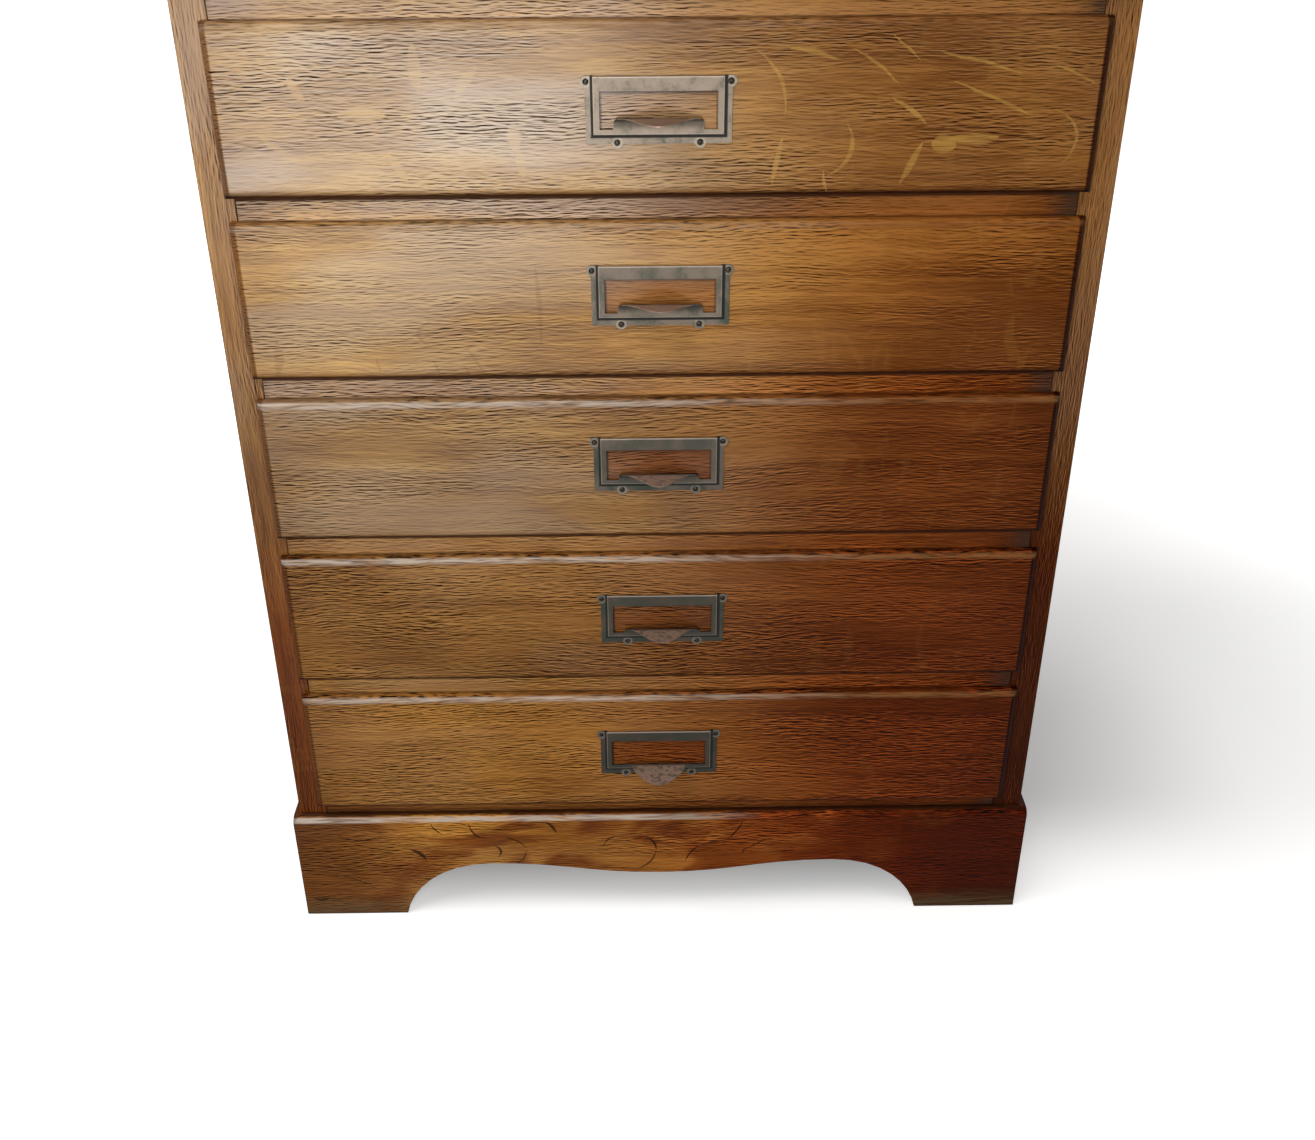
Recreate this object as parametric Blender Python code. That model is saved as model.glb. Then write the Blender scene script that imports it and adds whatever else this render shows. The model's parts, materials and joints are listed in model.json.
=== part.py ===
"""Oak archive cabinet: a chest of lipped drawers on a bracket plinth, with pressed metal label pulls.

Metres, +Z up. The front faces -Y and +X is on the viewer's right. The origin lies on the floor
under the middle of the whole cabinet. Drawer 1 is the lowest.
"""

import math

import bmesh
import bpy
from mathutils import Matrix, Vector
from mathutils.geometry import interpolate_bezier

OBJECT_NAME = "archive_cabinet"

# Fits shared by all pieces
FIT = 0.0003
OVERRUN = 0.002
WELD = 0.000001

# Case
CASE_WIDTH = 0.660
CASE_DEPTH = 0.440
SIDE_THICK = 0.025
BOTTOM_THICK = 0.015
BACK_THICK = 0.008
BACK_LAP = 0.010
TOP_THICK = 0.025
TOP_OVERHANG_FRONT = 0.012
TOP_OVERHANG_SIDE = 0.008
TOP_ROUNDING = 0.007
RAIL_THICK = 0.024
RAIL_DEPTH = 0.060
RUNNER_WIDTH = 0.022
HOUSING_DEPTH = 0.010
HOUSING_SETBACK = 0.012

# Bracket plinth
PLINTH_HEIGHT = 0.115
PLINTH_THICK = 0.020
PLINTH_STEP_FRONT = 0.009
PLINTH_STEP_SIDE = 0.005
PLINTH_ROUNDING = 0.007
ROUNDING_STEPS = 6
FOOT_WIDTH = 0.0945
ARCH_HEIGHT = 0.0595
ARCH_RUN = 0.0825
ARCH_LEAN = 0.006
ARCH_START_RISE = 0.028
ARCH_END_HANDLE = 0.050
APRON_DROP = 0.013
APRON_HANDLE = 0.070
ARCH_STEPS = 9

# Drawers
DRAWER_COUNT = 6
DRAWER_PITCH = 0.138
FRONT_LIP_SIDE = 0.0055
FRONT_LIP_RAIL = 0.003
FRONT_PROUD = 0.009
FRONT_INSET = 0.013
FRONT_MOULDING = 0.0055
DRAWER_SIDE_THICK = 0.012
DRAWER_BACK_THICK = 0.010
DRAWER_PANEL_THICK = 0.006
GROOVE_DEPTH = 0.006
GROOVE_EDGE = 0.003
SIDE_CLEARANCE = 0.0015
TOP_CLEARANCE = 0.004
REAR_CLEARANCE = 0.010
BACK_DROP = 0.008

# Dovetails
TAILS = 3
TAIL_LENGTH = 0.010
TAIL_FLARE = 0.0015
PIN_WIDTH = 0.012

# Label pull, pressed from one sheet
PULL_SHEET = 0.0010
CARD_GAP = 0.0014
WINDOW_WIDTH = 0.0824
WINDOW_HEIGHT = 0.0260
FRAME_TOP_BAR = 0.0098
FRAME_SIDE_BAR = 0.0046
FRAME_BOTTOM_BAR = 0.0037
FRAME_ROUNDING = 0.0006
FLANGE_SIDE = 0.0053
FLANGE_BOTTOM = 0.0062
FLANGE_TOP_STEP = 0.0004
FLANGE_CORNER = 0.0012
EAR_RADIUS = 0.0040
EAR_HOLE_RADIUS = 0.0024
TOP_EAR_INSET = 0.0009
BOTTOM_EAR_INSET = 0.0220
BOTTOM_EAR_RAISE = 0.0008
TAB_INSET = 0.0095
TAB_CORNER = 0.0050
TONGUE_REACH = 0.0300
TONGUE_EDGE = 0.0046
TONGUE_SHOULDER = 0.0040
TONGUE_BEND = 0.0030

# Pulls as they were fitted and bent by use, from the lowest drawer up
PULL_SHIFTS = (-0.0018, 0.0017, -0.0006, 0.0010, 0.0004, 0.0005)
PULL_LIFTS = (0.0003, 0.0012, 0.0058, 0.0056, 0.0012, 0.0020)
TAB_RISES = (0.0024, 0.0047, 0.0059, 0.0075, 0.0083, 0.0075)
TONGUE_SLOPES = (-0.12, 0.12, 0.08, 0.13, 0.00, 0.05)

# Places worked out from the sizes above
PULL_REACH = FIT + FRONT_PROUD + FIT + TONGUE_REACH
FRONT_Y = -(CASE_DEPTH - PULL_REACH) / 2
BACK_Y = FRONT_Y + CASE_DEPTH
CASE_X = CASE_WIDTH / 2
INNER_X = CASE_X - SIDE_THICK
CASE_Z = PLINTH_HEIGHT + FIT
FIRST_Z = CASE_Z + BOTTOM_THICK
TOP_Z = FIRST_Z + DRAWER_COUNT * DRAWER_PITCH
OPENING_HEIGHT = DRAWER_PITCH - RAIL_THICK
INSIDE_BACK_Y = BACK_Y - BACK_THICK - FIT

# Drawer places, from the case front, the middle of the case and the runner's top
BOX_OUT = INNER_X - SIDE_CLEARANCE
BOX_IN = BOX_OUT - DRAWER_SIDE_THICK
BOX_LOW = FIT
BOX_HIGH = OPENING_HEIGHT - TOP_CLEARANCE
BOX_FRONT = FRONT_INSET + FIT
BOX_REAR = CASE_DEPTH - BACK_THICK - REAR_CLEARANCE
BOX_BACK = BOX_REAR - DRAWER_BACK_THICK
GROOVE_LOW = BOX_LOW + PIN_WIDTH / 2 + GROOVE_EDGE
GROOVE_HIGH = GROOVE_LOW + DRAWER_PANEL_THICK + 2 * FIT
BACK_LOW = GROOVE_HIGH + FIT
BACK_HIGH = BOX_HIGH - BACK_DROP

# Pull places, from the middle of its window
FRAME_X = WINDOW_WIDTH / 2 + FRAME_SIDE_BAR
WINDOW_LOW = -WINDOW_HEIGHT / 2
FRAME_LOW = WINDOW_LOW - FRAME_BOTTOM_BAR
FRAME_HIGH = WINDOW_HEIGHT / 2 + FRAME_TOP_BAR
FLANGE_X = FRAME_X + FLANGE_SIDE
FLANGE_LOW = FRAME_LOW - FLANGE_BOTTOM
FLANGE_HIGH = FRAME_HIGH + FLANGE_TOP_STEP
PULL_MIDDLE = (FLANGE_LOW + FLANGE_HIGH) / 2
FRAME_FACE = CARD_GAP + PULL_SHEET
TAB_X = WINDOW_WIDTH / 2 - TAB_INSET
EARS = [
    (side * x, z)
    for side in (-1, 1)
    for x, z in (
        (FLANGE_X - TOP_EAR_INSET, FLANGE_HIGH - EAR_RADIUS),
        (FLANGE_X - BOTTOM_EAR_INSET, FLANGE_LOW + BOTTOM_EAR_RAISE),
    )
]


# Modelling helpers

def clear_scene():
    """Remove what the opened file holds."""
    for old in list(bpy.data.objects):
        bpy.data.objects.remove(old)


def finish_material(name, colour, roughness, metallic=0.0):
    """One Principled material for a sub-part."""
    material = bpy.data.materials.new(name)
    material.use_nodes = True
    shader = material.node_tree.nodes["Principled BSDF"]
    shader.inputs["Base Color"].default_value = (*colour, 1.0)
    shader.inputs["Roughness"].default_value = roughness
    shader.inputs["Metallic"].default_value = metallic
    return material


def facing_front(y):
    """Frame whose outlines are drawn in X and Z, thickness towards the viewer."""
    return Matrix(((1, 0, 0, 0), (0, 0, -1, y), (0, 1, 0, 0), (0, 0, 0, 1)))


def facing_side(x):
    """Frame whose outlines are drawn in Y and Z, thickness along X."""
    return Matrix(((0, 0, 1, x), (1, 0, 0, 0), (0, 1, 0, 0), (0, 0, 0, 1)))


def lying(z):
    """Frame whose outlines are drawn in X and Y, thickness upwards."""
    return Matrix.Translation((0, 0, z))


def box(low, high):
    """Closed box between two corners."""
    low = Vector(low)
    high = Vector(high)
    shape = bmesh.new()
    place = Matrix.Translation((low + high) / 2) @ Matrix.Diagonal((*(high - low), 1.0))
    bmesh.ops.create_cube(shape, size=1.0, matrix=place)
    return shape


def scratch_object(data):
    """Object that is only used while a shape is worked out."""
    made = bpy.data.objects.new("scratch", data)
    bpy.context.scene.collection.objects.link(made)
    return made


def evaluated(source):
    """Bmesh of an object as its curve or modifiers make it."""
    depsgraph = bpy.context.evaluated_depsgraph_get()
    mesh = bpy.data.meshes.new_from_object(source.evaluated_get(depsgraph))
    shape = bmesh.new()
    shape.from_mesh(mesh)
    bpy.data.meshes.remove(mesh)
    return shape


def plate(loops, thick, frame):
    """Flat outlines filled and extruded about a frame's plane; a loop inside another is a hole."""
    curve = bpy.data.curves.new("outline", "CURVE")
    curve.dimensions = "2D"
    curve.fill_mode = "BOTH"
    curve.extrude = thick / 2
    for loop in loops:
        spline = curve.splines.new("POLY")
        spline.points.add(len(loop) - 1)
        for point, (across, up) in zip(spline.points, loop):
            point.co = (across, up, 0.0, 1.0)
        spline.use_cyclic_u = True
    outline = scratch_object(curve)
    shape = evaluated(outline)
    bpy.data.objects.remove(outline)
    bpy.data.curves.remove(curve)
    bmesh.ops.remove_doubles(shape, verts=shape.verts, dist=WELD)
    bmesh.ops.transform(shape, matrix=frame, verts=shape.verts)
    bmesh.ops.recalc_face_normals(shape, faces=shape.faces)
    return shape


def boolean(base, tool, operation):
    """Exact Boolean of two closed shapes, which are used up."""
    objects = []
    for shape in (base, tool):
        mesh = bpy.data.meshes.new("scratch")
        shape.to_mesh(mesh)
        shape.free()
        objects.append(scratch_object(mesh))
    modifier = objects[0].modifiers.new("combine", "BOOLEAN")
    modifier.operation = operation
    modifier.solver = "EXACT"
    modifier.object = objects[1]
    result = evaluated(objects[0])
    for used in objects:
        bpy.data.meshes.remove(used.data)
    return result


def cut(base, *tools):
    """Take each tool away from a shape."""
    for tool in tools:
        base = boolean(base, tool, "DIFFERENCE")
    return base


def join(base, *others):
    """Fuse other shapes to a shape."""
    for other in others:
        base = boolean(base, other, "UNION")
    return base


def trim(base, *outlines):
    """Keep only what lies inside each outline."""
    for outline in outlines:
        base = boolean(base, outline, "INTERSECT")
    return base


def merge_flat_faces(shape):
    """Join coplanar facets, so that an edge can be rounded along its whole length."""
    bmesh.ops.dissolve_limit(
        shape, angle_limit=math.radians(0.1), verts=shape.verts, edges=shape.edges)


def round_edges(shape, chosen, radius, segments):
    """Round the edges whose two ends are both chosen."""
    edges = [edge for edge in shape.edges if all(chosen(vert.co) for vert in edge.verts)]
    bmesh.ops.bevel(
        shape, geom=edges, offset=radius, segments=segments, profile=0.5, affect="EDGES")


def mitre(shape, corner, outward):
    """Saw a shape off at a plane and close the cut."""
    everything = list(shape.verts) + list(shape.edges) + list(shape.faces)
    bmesh.ops.bisect_plane(
        shape, geom=everything, dist=WELD, plane_co=corner, plane_no=outward, clear_outer=True)
    rim = [edge for edge in shape.edges if edge.is_boundary]
    bmesh.ops.edgeloop_fill(shape, edges=rim)


def arc(centre, radius, start, end, steps):
    """Points along an arc, angles in degrees."""
    points = []
    for step in range(steps + 1):
        angle = math.radians(start + (end - start) * step / steps)
        points.append((centre[0] + radius * math.cos(angle), centre[1] + radius * math.sin(angle)))
    return points


def rectangle(x, low, high):
    """Outline of a rectangle that is centred across."""
    return [(-x, low), (x, low), (x, high), (-x, high)]


def mirrored(points):
    """The same points on the other side, in the order that carries an outline on."""
    return [(-across, up) for across, up in reversed(points)]


def part_mesh(name, shape, material):
    """Mesh of a finished shape, with smooth rounds and sharp corners."""
    bmesh.ops.recalc_face_normals(shape, faces=shape.faces)
    mesh = bpy.data.meshes.new(name)
    shape.to_mesh(mesh)
    shape.free()
    mesh.materials.append(material)
    mesh.shade_smooth()
    mesh.set_sharp_from_angle(angle=math.radians(35))
    return mesh


def add_part(collection, name, mesh, parent=None, location=(0, 0, 0)):
    """One named sub-part of the cabinet."""
    made = bpy.data.objects.new(name, mesh)
    collection.objects.link(made)
    made.parent = parent
    made.location = location
    return made


# Plinth

def arch_side(foot_end, peak):
    """Curve of the plinth from the inner end of a foot up to the top of the arch."""
    start = Vector((foot_end, 0))
    end = Vector((peak, ARCH_HEIGHT))
    inward = math.copysign(1, peak - foot_end)
    curve = interpolate_bezier(
        start, start + Vector((inward * ARCH_LEAN, ARCH_START_RISE)),
        end - Vector((inward * ARCH_END_HANDLE, 0)), end, ARCH_STEPS)
    return [point.to_tuple() for point in curve]


def apron_side(peak):
    """Curve from the top of the right arch down to the middle of the apron."""
    start = Vector((peak, ARCH_HEIGHT))
    end = Vector((0, ARCH_HEIGHT - APRON_DROP))
    handle = Vector((min(APRON_HANDLE, peak / 2), 0))
    curve = interpolate_bezier(start, start - handle, end + handle, end, ARCH_STEPS)
    return [point.to_tuple() for point in curve]


def plinth_front():
    """Serpentine front board with mitred ends and a rounded top edge."""
    half = CASE_X + PLINTH_STEP_SIDE
    foot_end = half - FOOT_WIDTH
    peak = foot_end - ARCH_RUN
    right = arch_side(foot_end, peak) + apron_side(peak)[1:]
    lower = [(half, 0)] + right + mirrored(right)[1:] + [(-half, 0)]
    outline = lower + [(-half, PLINTH_HEIGHT), (half, PLINTH_HEIGHT)]
    face = FRONT_Y - PLINTH_STEP_FRONT
    shape = plate([outline], PLINTH_THICK, facing_front(face + PLINTH_THICK / 2))
    merge_flat_faces(shape)
    round_edges(
        shape, lambda co: co.z > PLINTH_HEIGHT - WELD and co.y < face + WELD,
        PLINTH_ROUNDING, ROUNDING_STEPS)
    for side in (-1, 1):
        mitre(shape, (side * (half - FIT / 2), face, 0), (side, 1, 0))
    return shape


def plinth_side(side):
    """Bracket board under one side of the case, its end rounded to meet the front's rounded edge."""
    face = side * (CASE_X + PLINTH_STEP_SIDE)
    front = FRONT_Y - PLINTH_STEP_FRONT
    front_foot = front + FOOT_WIDTH
    back_foot = BACK_Y - FOOT_WIDTH
    arch = arch_side(front_foot, front_foot + ARCH_RUN)
    arch += list(reversed(arch_side(back_foot, back_foot - ARCH_RUN)))
    centre = (front + PLINTH_ROUNDING, PLINTH_HEIGHT - PLINTH_ROUNDING)
    end = arc(centre, PLINTH_ROUNDING, 90, 180, ROUNDING_STEPS)
    outline = [(front, 0)] + arch + [(BACK_Y, 0), (BACK_Y, PLINTH_HEIGHT)] + end
    shape = plate([outline], PLINTH_THICK, facing_side(face - side * PLINTH_THICK / 2))
    mitre(shape, (face, front + FIT / 2, 0), (-side, -1, 0))
    return shape


# Case

def housing_levels():
    """Bottom of each rail and of its runners, from the lowest up."""
    return [FIRST_Z + level * DRAWER_PITCH + OPENING_HEIGHT for level in range(DRAWER_COUNT)]


def case_side(side):
    """Side board with housings for rails, runners and bottom, and a rebate for the back."""
    shape = box(
        (min(side * INNER_X, side * CASE_X), FRONT_Y, CASE_Z),
        (max(side * INNER_X, side * CASE_X), BACK_Y, TOP_Z))
    inner = side * (INNER_X - OVERRUN)
    deep = side * (INNER_X + HOUSING_DEPTH)
    start = FRONT_Y + HOUSING_SETBACK
    spans = [(low - FIT, low + RAIL_THICK + FIT) for low in housing_levels()]
    spans[-1] = (spans[-1][0], TOP_Z + OVERRUN)
    spans.append((CASE_Z - OVERRUN, FIRST_Z + FIT))
    for low, high in spans:
        shape = cut(shape, box(
            (min(inner, deep), start, low), (max(inner, deep), BACK_Y + OVERRUN, high)))
    lap = side * (INNER_X + BACK_LAP)
    rebate = box(
        (min(inner, lap), BACK_Y - BACK_THICK - FIT, CASE_Z - OVERRUN),
        (max(inner, lap), BACK_Y + OVERRUN, TOP_Z + OVERRUN))
    return cut(shape, rebate)


def housed_board(depth_end, low, thick):
    """Board between the sides whose ends step into their housings, clear of the front edge."""
    shoulder = INNER_X - FIT
    tongue = INNER_X + HOUSING_DEPTH - FIT
    start = FRONT_Y + HOUSING_SETBACK + FIT
    right = [(shoulder, FRONT_Y), (shoulder, start), (tongue, start), (tongue, depth_end)]
    return plate([right + mirrored(right)], thick, lying(low + thick / 2))


def runner(side, low):
    """Strip that carries one side of a drawer, seated in the side's housing behind the rail."""
    edge = side * (INNER_X - RUNNER_WIDTH)
    seat = side * (INNER_X + HOUSING_DEPTH - FIT)
    return box(
        (min(edge, seat), FRONT_Y + RAIL_DEPTH + FIT, low),
        (max(edge, seat), INSIDE_BACK_Y, low + RAIL_THICK))


def top_board():
    """Top with a rounded upper edge on its front and sides."""
    half = CASE_X + TOP_OVERHANG_SIDE
    front = FRONT_Y - TOP_OVERHANG_FRONT
    low = TOP_Z + FIT
    shape = box((-half, front, low), (half, BACK_Y, low + TOP_THICK))
    rounding = min(TOP_ROUNDING, TOP_THICK / 2)

    def on_edge(co):
        return co.z > low + TOP_THICK - WELD

    edges = [
        edge for edge in shape.edges
        if all(on_edge(vert.co) for vert in edge.verts)
        and not all(vert.co.y > BACK_Y - WELD for vert in edge.verts)]
    bmesh.ops.bevel(
        shape, geom=edges, offset=rounding, segments=ROUNDING_STEPS, profile=0.5, affect="EDGES")
    return shape


def back_panel():
    """Thin panel in the rebates of the sides."""
    half = INNER_X + BACK_LAP - FIT
    return box((-half, BACK_Y - BACK_THICK, CASE_Z), (half, BACK_Y, TOP_Z))


# Drawer boxes

def tail_spans(low, high):
    """Lower and upper edge of each tail at its root, with a half pin at both ends."""
    pitch = (high - low) / TAILS
    return [
        (low + k * pitch + PIN_WIDTH / 2, low + (k + 1) * pitch - PIN_WIDTH / 2)
        for k in range(TAILS)]


def tailed_edge(root, tip, low, high):
    """Edge of a drawer side with its dovetails, from the bottom up."""
    points = []
    for start, end in tail_spans(low, high):
        points += [(root, start), (tip, start - TAIL_FLARE), (tip, end + TAIL_FLARE), (root, end)]
    return points


def socket_tool(side, root, tip, low, high):
    """The tails of one corner, grown by the fit and run out past the joint, to cut their sockets."""
    away = math.copysign(1, root - tip)
    mouth = root + away * OVERRUN
    end = tip - away * FIT
    loops = []
    for start, stop in tail_spans(low, high):
        lower = [(mouth, start - FIT), (root, start - FIT), (end, start - TAIL_FLARE - FIT)]
        upper = [(end, stop + TAIL_FLARE + FIT), (root, stop + FIT), (mouth, stop + FIT)]
        loops.append(lower + upper)
    near = BOX_IN - FIT
    far = BOX_OUT + OVERRUN
    return plate(loops, far - near, facing_side(side * (near + far) / 2))


def drawer_side(side):
    """Drawer side with half-blind tails in front, through tails behind and a groove inside."""
    front = tailed_edge(BOX_FRONT, FRONT_INSET - TAIL_LENGTH, BOX_LOW, BOX_HIGH)
    rear_root = BOX_BACK - FIT
    rear = tailed_edge(rear_root, BOX_REAR, BACK_LOW, BACK_HIGH)
    outline = [(BOX_FRONT, BOX_LOW), (rear_root, BOX_LOW)] + rear
    outline += [(rear_root, BOX_HIGH), (BOX_FRONT, BOX_HIGH)] + list(reversed(front))
    shape = plate([outline], DRAWER_SIDE_THICK, facing_side(side * (BOX_IN + BOX_OUT) / 2))
    edges = (side * (BOX_IN - OVERRUN), side * (BOX_IN + GROOVE_DEPTH))
    groove = box((min(edges), -OVERRUN, GROOVE_LOW), (max(edges), BOX_REAR + OVERRUN, GROOVE_HIGH))
    return cut(shape, groove)


def drawer_front():
    """Lipped front with a rounded moulding, dovetail sockets and a groove for the bottom."""
    half = INNER_X + FRONT_LIP_SIDE
    face = -FIT - FRONT_PROUD
    lipped = box((-half, face, -FRONT_LIP_RAIL), (half, -FIT, OPENING_HEIGHT + FRONT_LIP_RAIL))
    rounding = min(FRONT_MOULDING, FRONT_PROUD - OVERRUN)
    round_edges(lipped, lambda co: co.y < face + WELD, rounding, ROUNDING_STEPS)
    inset = box(
        (-BOX_OUT, -FIT - OVERRUN, BOX_LOW), (BOX_OUT, FRONT_INSET, BOX_HIGH))
    shape = join(lipped, inset)
    for side in (-1, 1):
        shape = cut(
            shape, socket_tool(side, BOX_FRONT, FRONT_INSET - TAIL_LENGTH, BOX_LOW, BOX_HIGH))
    groove = box(
        (-BOX_IN, FRONT_INSET - GROOVE_DEPTH, GROOVE_LOW),
        (BOX_IN, FRONT_INSET + OVERRUN, GROOVE_HIGH))
    return cut(shape, groove)


def drawer_back():
    """Low back board, pierced by the through tails of both sides."""
    shape = box((-BOX_OUT, BOX_BACK, BACK_LOW), (BOX_OUT, BOX_REAR, BACK_HIGH))
    for side in (-1, 1):
        tool = socket_tool(side, BOX_BACK - FIT, BOX_REAR + OVERRUN, BACK_LOW, BACK_HIGH)
        shape = cut(shape, tool)
    return shape


def drawer_bottom():
    """Bottom panel that slides in from behind, in the grooves of the sides and the front."""
    half = BOX_IN + GROOVE_DEPTH - FIT
    return box(
        (-half, FRONT_INSET - GROOVE_DEPTH + FIT, GROOVE_LOW + FIT),
        (half, BOX_REAR, GROOVE_HIGH - FIT))


# Label pull

def flange():
    """Flat rim on the left, below and on the right, with four screw ears."""
    lower_ear = (FLANGE_X - BOTTOM_EAR_INSET, FLANGE_LOW + BOTTOM_EAR_RAISE)
    upper_ear = (FLANGE_X - TOP_EAR_INSET, FLANGE_HIGH - EAR_RADIUS)
    dip = math.degrees(math.asin(BOTTOM_EAR_RAISE / EAR_RADIUS))
    lean = math.degrees(math.acos(TOP_EAR_INSET / EAR_RADIUS))
    corner = (FLANGE_X - FLANGE_CORNER, FLANGE_LOW + FLANGE_CORNER)
    inner_x = FRAME_X - PULL_SHEET / 2
    right = arc(lower_ear, EAR_RADIUS, 180 + dip, 360 - dip, 8)
    right += arc(corner, FLANGE_CORNER, -90, 0, 3)
    right += arc(upper_ear, EAR_RADIUS, -lean, 90, 9)
    right += [(inner_x, FLANGE_HIGH), (inner_x, FRAME_LOW + PULL_SHEET / 2)]
    holes = [arc(ear, EAR_HOLE_RADIUS, 0, 330, 11) for ear in EARS]
    return plate([right + mirrored(right)] + holes, PULL_SHEET, facing_front(-PULL_SHEET / 2))


def card_frame():
    """Raised frame round the window, hollow behind, so that a card slides in from above."""
    back = PULL_SHEET / 4
    loops = [
        rectangle(FRAME_X, FRAME_LOW, FRAME_HIGH),
        rectangle(WINDOW_WIDTH / 2, WINDOW_LOW, WINDOW_HEIGHT / 2)]
    shape = plate(loops, FRAME_FACE - back, facing_front(-(FRAME_FACE + back) / 2))
    merge_flat_faces(shape)

    def on_rim(co):
        outside = abs(co.x) > FRAME_X - WELD or not FRAME_LOW + WELD < co.z < FRAME_HIGH - WELD
        return outside and co.y < -FRAME_FACE + WELD

    round_edges(shape, on_rim, FRAME_ROUNDING, 2)
    pocket_x = FRAME_X - PULL_SHEET
    pocket = box(
        (-pocket_x, -CARD_GAP, FRAME_LOW + PULL_SHEET), (pocket_x, OVERRUN, FRAME_HIGH + OVERRUN))
    return cut(shape, pocket)


def tongue(rise, slope):
    """Tab that rises from the frame's lower bar and bends forward into a sloping ogee finger tongue."""
    tab_top = WINDOW_LOW + rise
    skin = PULL_SHEET / 20
    back = CARD_GAP + skin
    face = FRAME_FACE - skin
    root = WINDOW_LOW - FRAME_BOTTOM_BAR / 2
    underside = tab_top - (face - back)
    bend = (face + TONGUE_BEND, underside - TONGUE_BEND)
    outer = TONGUE_BEND + face - back
    tip = TONGUE_REACH + OVERRUN
    section = [(face, root)] + arc(bend, TONGUE_BEND, 180, 90, 5) + [(tip, underside), (tip, tab_top)]
    section += arc(bend, outer, 90, 180, 5) + [(back, root)]
    sheet = plate([[(-out, up) for out, up in section]], 2 * TAB_X, facing_side(0))

    swell = TAB_X - TONGUE_SHOULDER
    steps = 24
    edge = [(TAB_X + OVERRUN, 0), (TAB_X + OVERRUN, -TONGUE_EDGE)]
    for step in range(steps + 1):
        across = swell * (1 - 2 * step / steps)
        wave = (1 + math.cos(math.pi * across / swell)) / 2
        edge.append((across, -TONGUE_EDGE - (TONGUE_REACH - TONGUE_EDGE) * wave))
    edge += [(-TAB_X - OVERRUN, -TONGUE_EDGE), (-TAB_X - OVERRUN, 0)]
    height = tab_top - root
    ogee = plate([edge], 2 * height, lying(root + height / 2))

    corner = (TAB_X - TAB_CORNER, tab_top + WELD - TAB_CORNER)
    right = [(TAB_X - WELD, root - OVERRUN)] + arc(corner, TAB_CORNER - WELD, 0, 90, 6)
    silhouette = plate([right + mirrored(right)], 4 * TONGUE_REACH, facing_front(0))
    shape = trim(sheet, ogee, silhouette)
    for vert in shape.verts:
        vert.co.z += slope * max(0.0, -vert.co.y - bend[0])
    return shape


def label_pull(rise, slope):
    """The whole pull, its back on the plane of the drawer's face and its middle at the origin."""
    shape = join(flange(), card_frame(), tongue(rise, slope))
    bmesh.ops.translate(shape, vec=(0, 0, -PULL_MIDDLE), verts=shape.verts)
    return shape


# Assembly

def build_case(collection, oak, plain_wood):
    """Plinth, boards, rails and runners, which stay still."""
    fixed = {
        "plinth_front": (plinth_front(), oak),
        "plinth_left": (plinth_side(-1), oak),
        "plinth_right": (plinth_side(1), oak),
        "side_left": (case_side(-1), oak),
        "side_right": (case_side(1), oak),
        "bottom_board": (housed_board(INSIDE_BACK_Y, CASE_Z, BOTTOM_THICK), oak),
        "back_panel": (back_panel(), plain_wood),
        "top_board": (top_board(), oak),
    }
    for number, low in enumerate(housing_levels(), start=1):
        rail = housed_board(FRONT_Y + RAIL_DEPTH, low, RAIL_THICK)
        if number == DRAWER_COUNT:
            fixed["top_rail"] = (rail, oak)
            continue
        fixed[f"rail_{number}"] = (rail, oak)
        fixed[f"runner_{number}_left"] = (runner(-1, low), plain_wood)
        fixed[f"runner_{number}_right"] = (runner(1, low), plain_wood)
    for name, (shape, material) in fixed.items():
        add_part(collection, name, part_mesh(name, shape, material))


def build_drawers(collection, oak, plain_wood, metal):
    """Like drawers, each on an empty that lies on its sliding axis."""
    pieces = {
        "front": part_mesh("drawer_front", drawer_front(), oak),
        "side_left": part_mesh("drawer_side_left", drawer_side(-1), plain_wood),
        "side_right": part_mesh("drawer_side_right", drawer_side(1), plain_wood),
        "back": part_mesh("drawer_back", drawer_back(), plain_wood),
        "bottom": part_mesh("drawer_bottom", drawer_bottom(), plain_wood),
    }
    for level in range(DRAWER_COUNT):
        name = f"drawer_{level + 1}"
        axis = bpy.data.objects.new(f"{name}_axis", None)
        collection.objects.link(axis)
        axis.location = (0, FRONT_Y, FIRST_Z + level * DRAWER_PITCH)
        for piece, mesh in pieces.items():
            add_part(collection, f"{name}_{piece}", mesh, axis)
        turn = level % len(PULL_SHIFTS)
        shape = label_pull(TAB_RISES[turn], TONGUE_SLOPES[turn])
        seat = (PULL_SHIFTS[turn], -FIT - FRONT_PROUD - FIT, OPENING_HEIGHT / 2 + PULL_LIFTS[turn])
        add_part(collection, f"{name}_pull", part_mesh(f"{name}_pull", shape, metal), axis, seat)


def main():
    """Build the cabinet, closed, standing on the floor."""
    clear_scene()
    collection = bpy.data.collections.new(OBJECT_NAME)
    bpy.context.scene.collection.children.link(collection)
    oak = finish_material("varnished_oak", (0.235, 0.112, 0.036), 0.42)
    plain_wood = finish_material("plain_wood", (0.46, 0.31, 0.17), 0.65)
    metal = finish_material("bronzed_steel", (0.20, 0.17, 0.14), 0.45, 0.85)
    build_case(collection, oak, plain_wood)
    build_drawers(collection, oak, plain_wood, metal)


main()
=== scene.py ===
"""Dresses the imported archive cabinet: oak boards, aged label pulls, slotted screws and a plain stage."""

import json
import math

import bmesh
import bpy
from bpy.props import FloatProperty, FloatVectorProperty, IntProperty, PointerProperty
from bpy.types import Operator, Panel, PropertyGroup
from mathutils import Matrix, Vector

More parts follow.
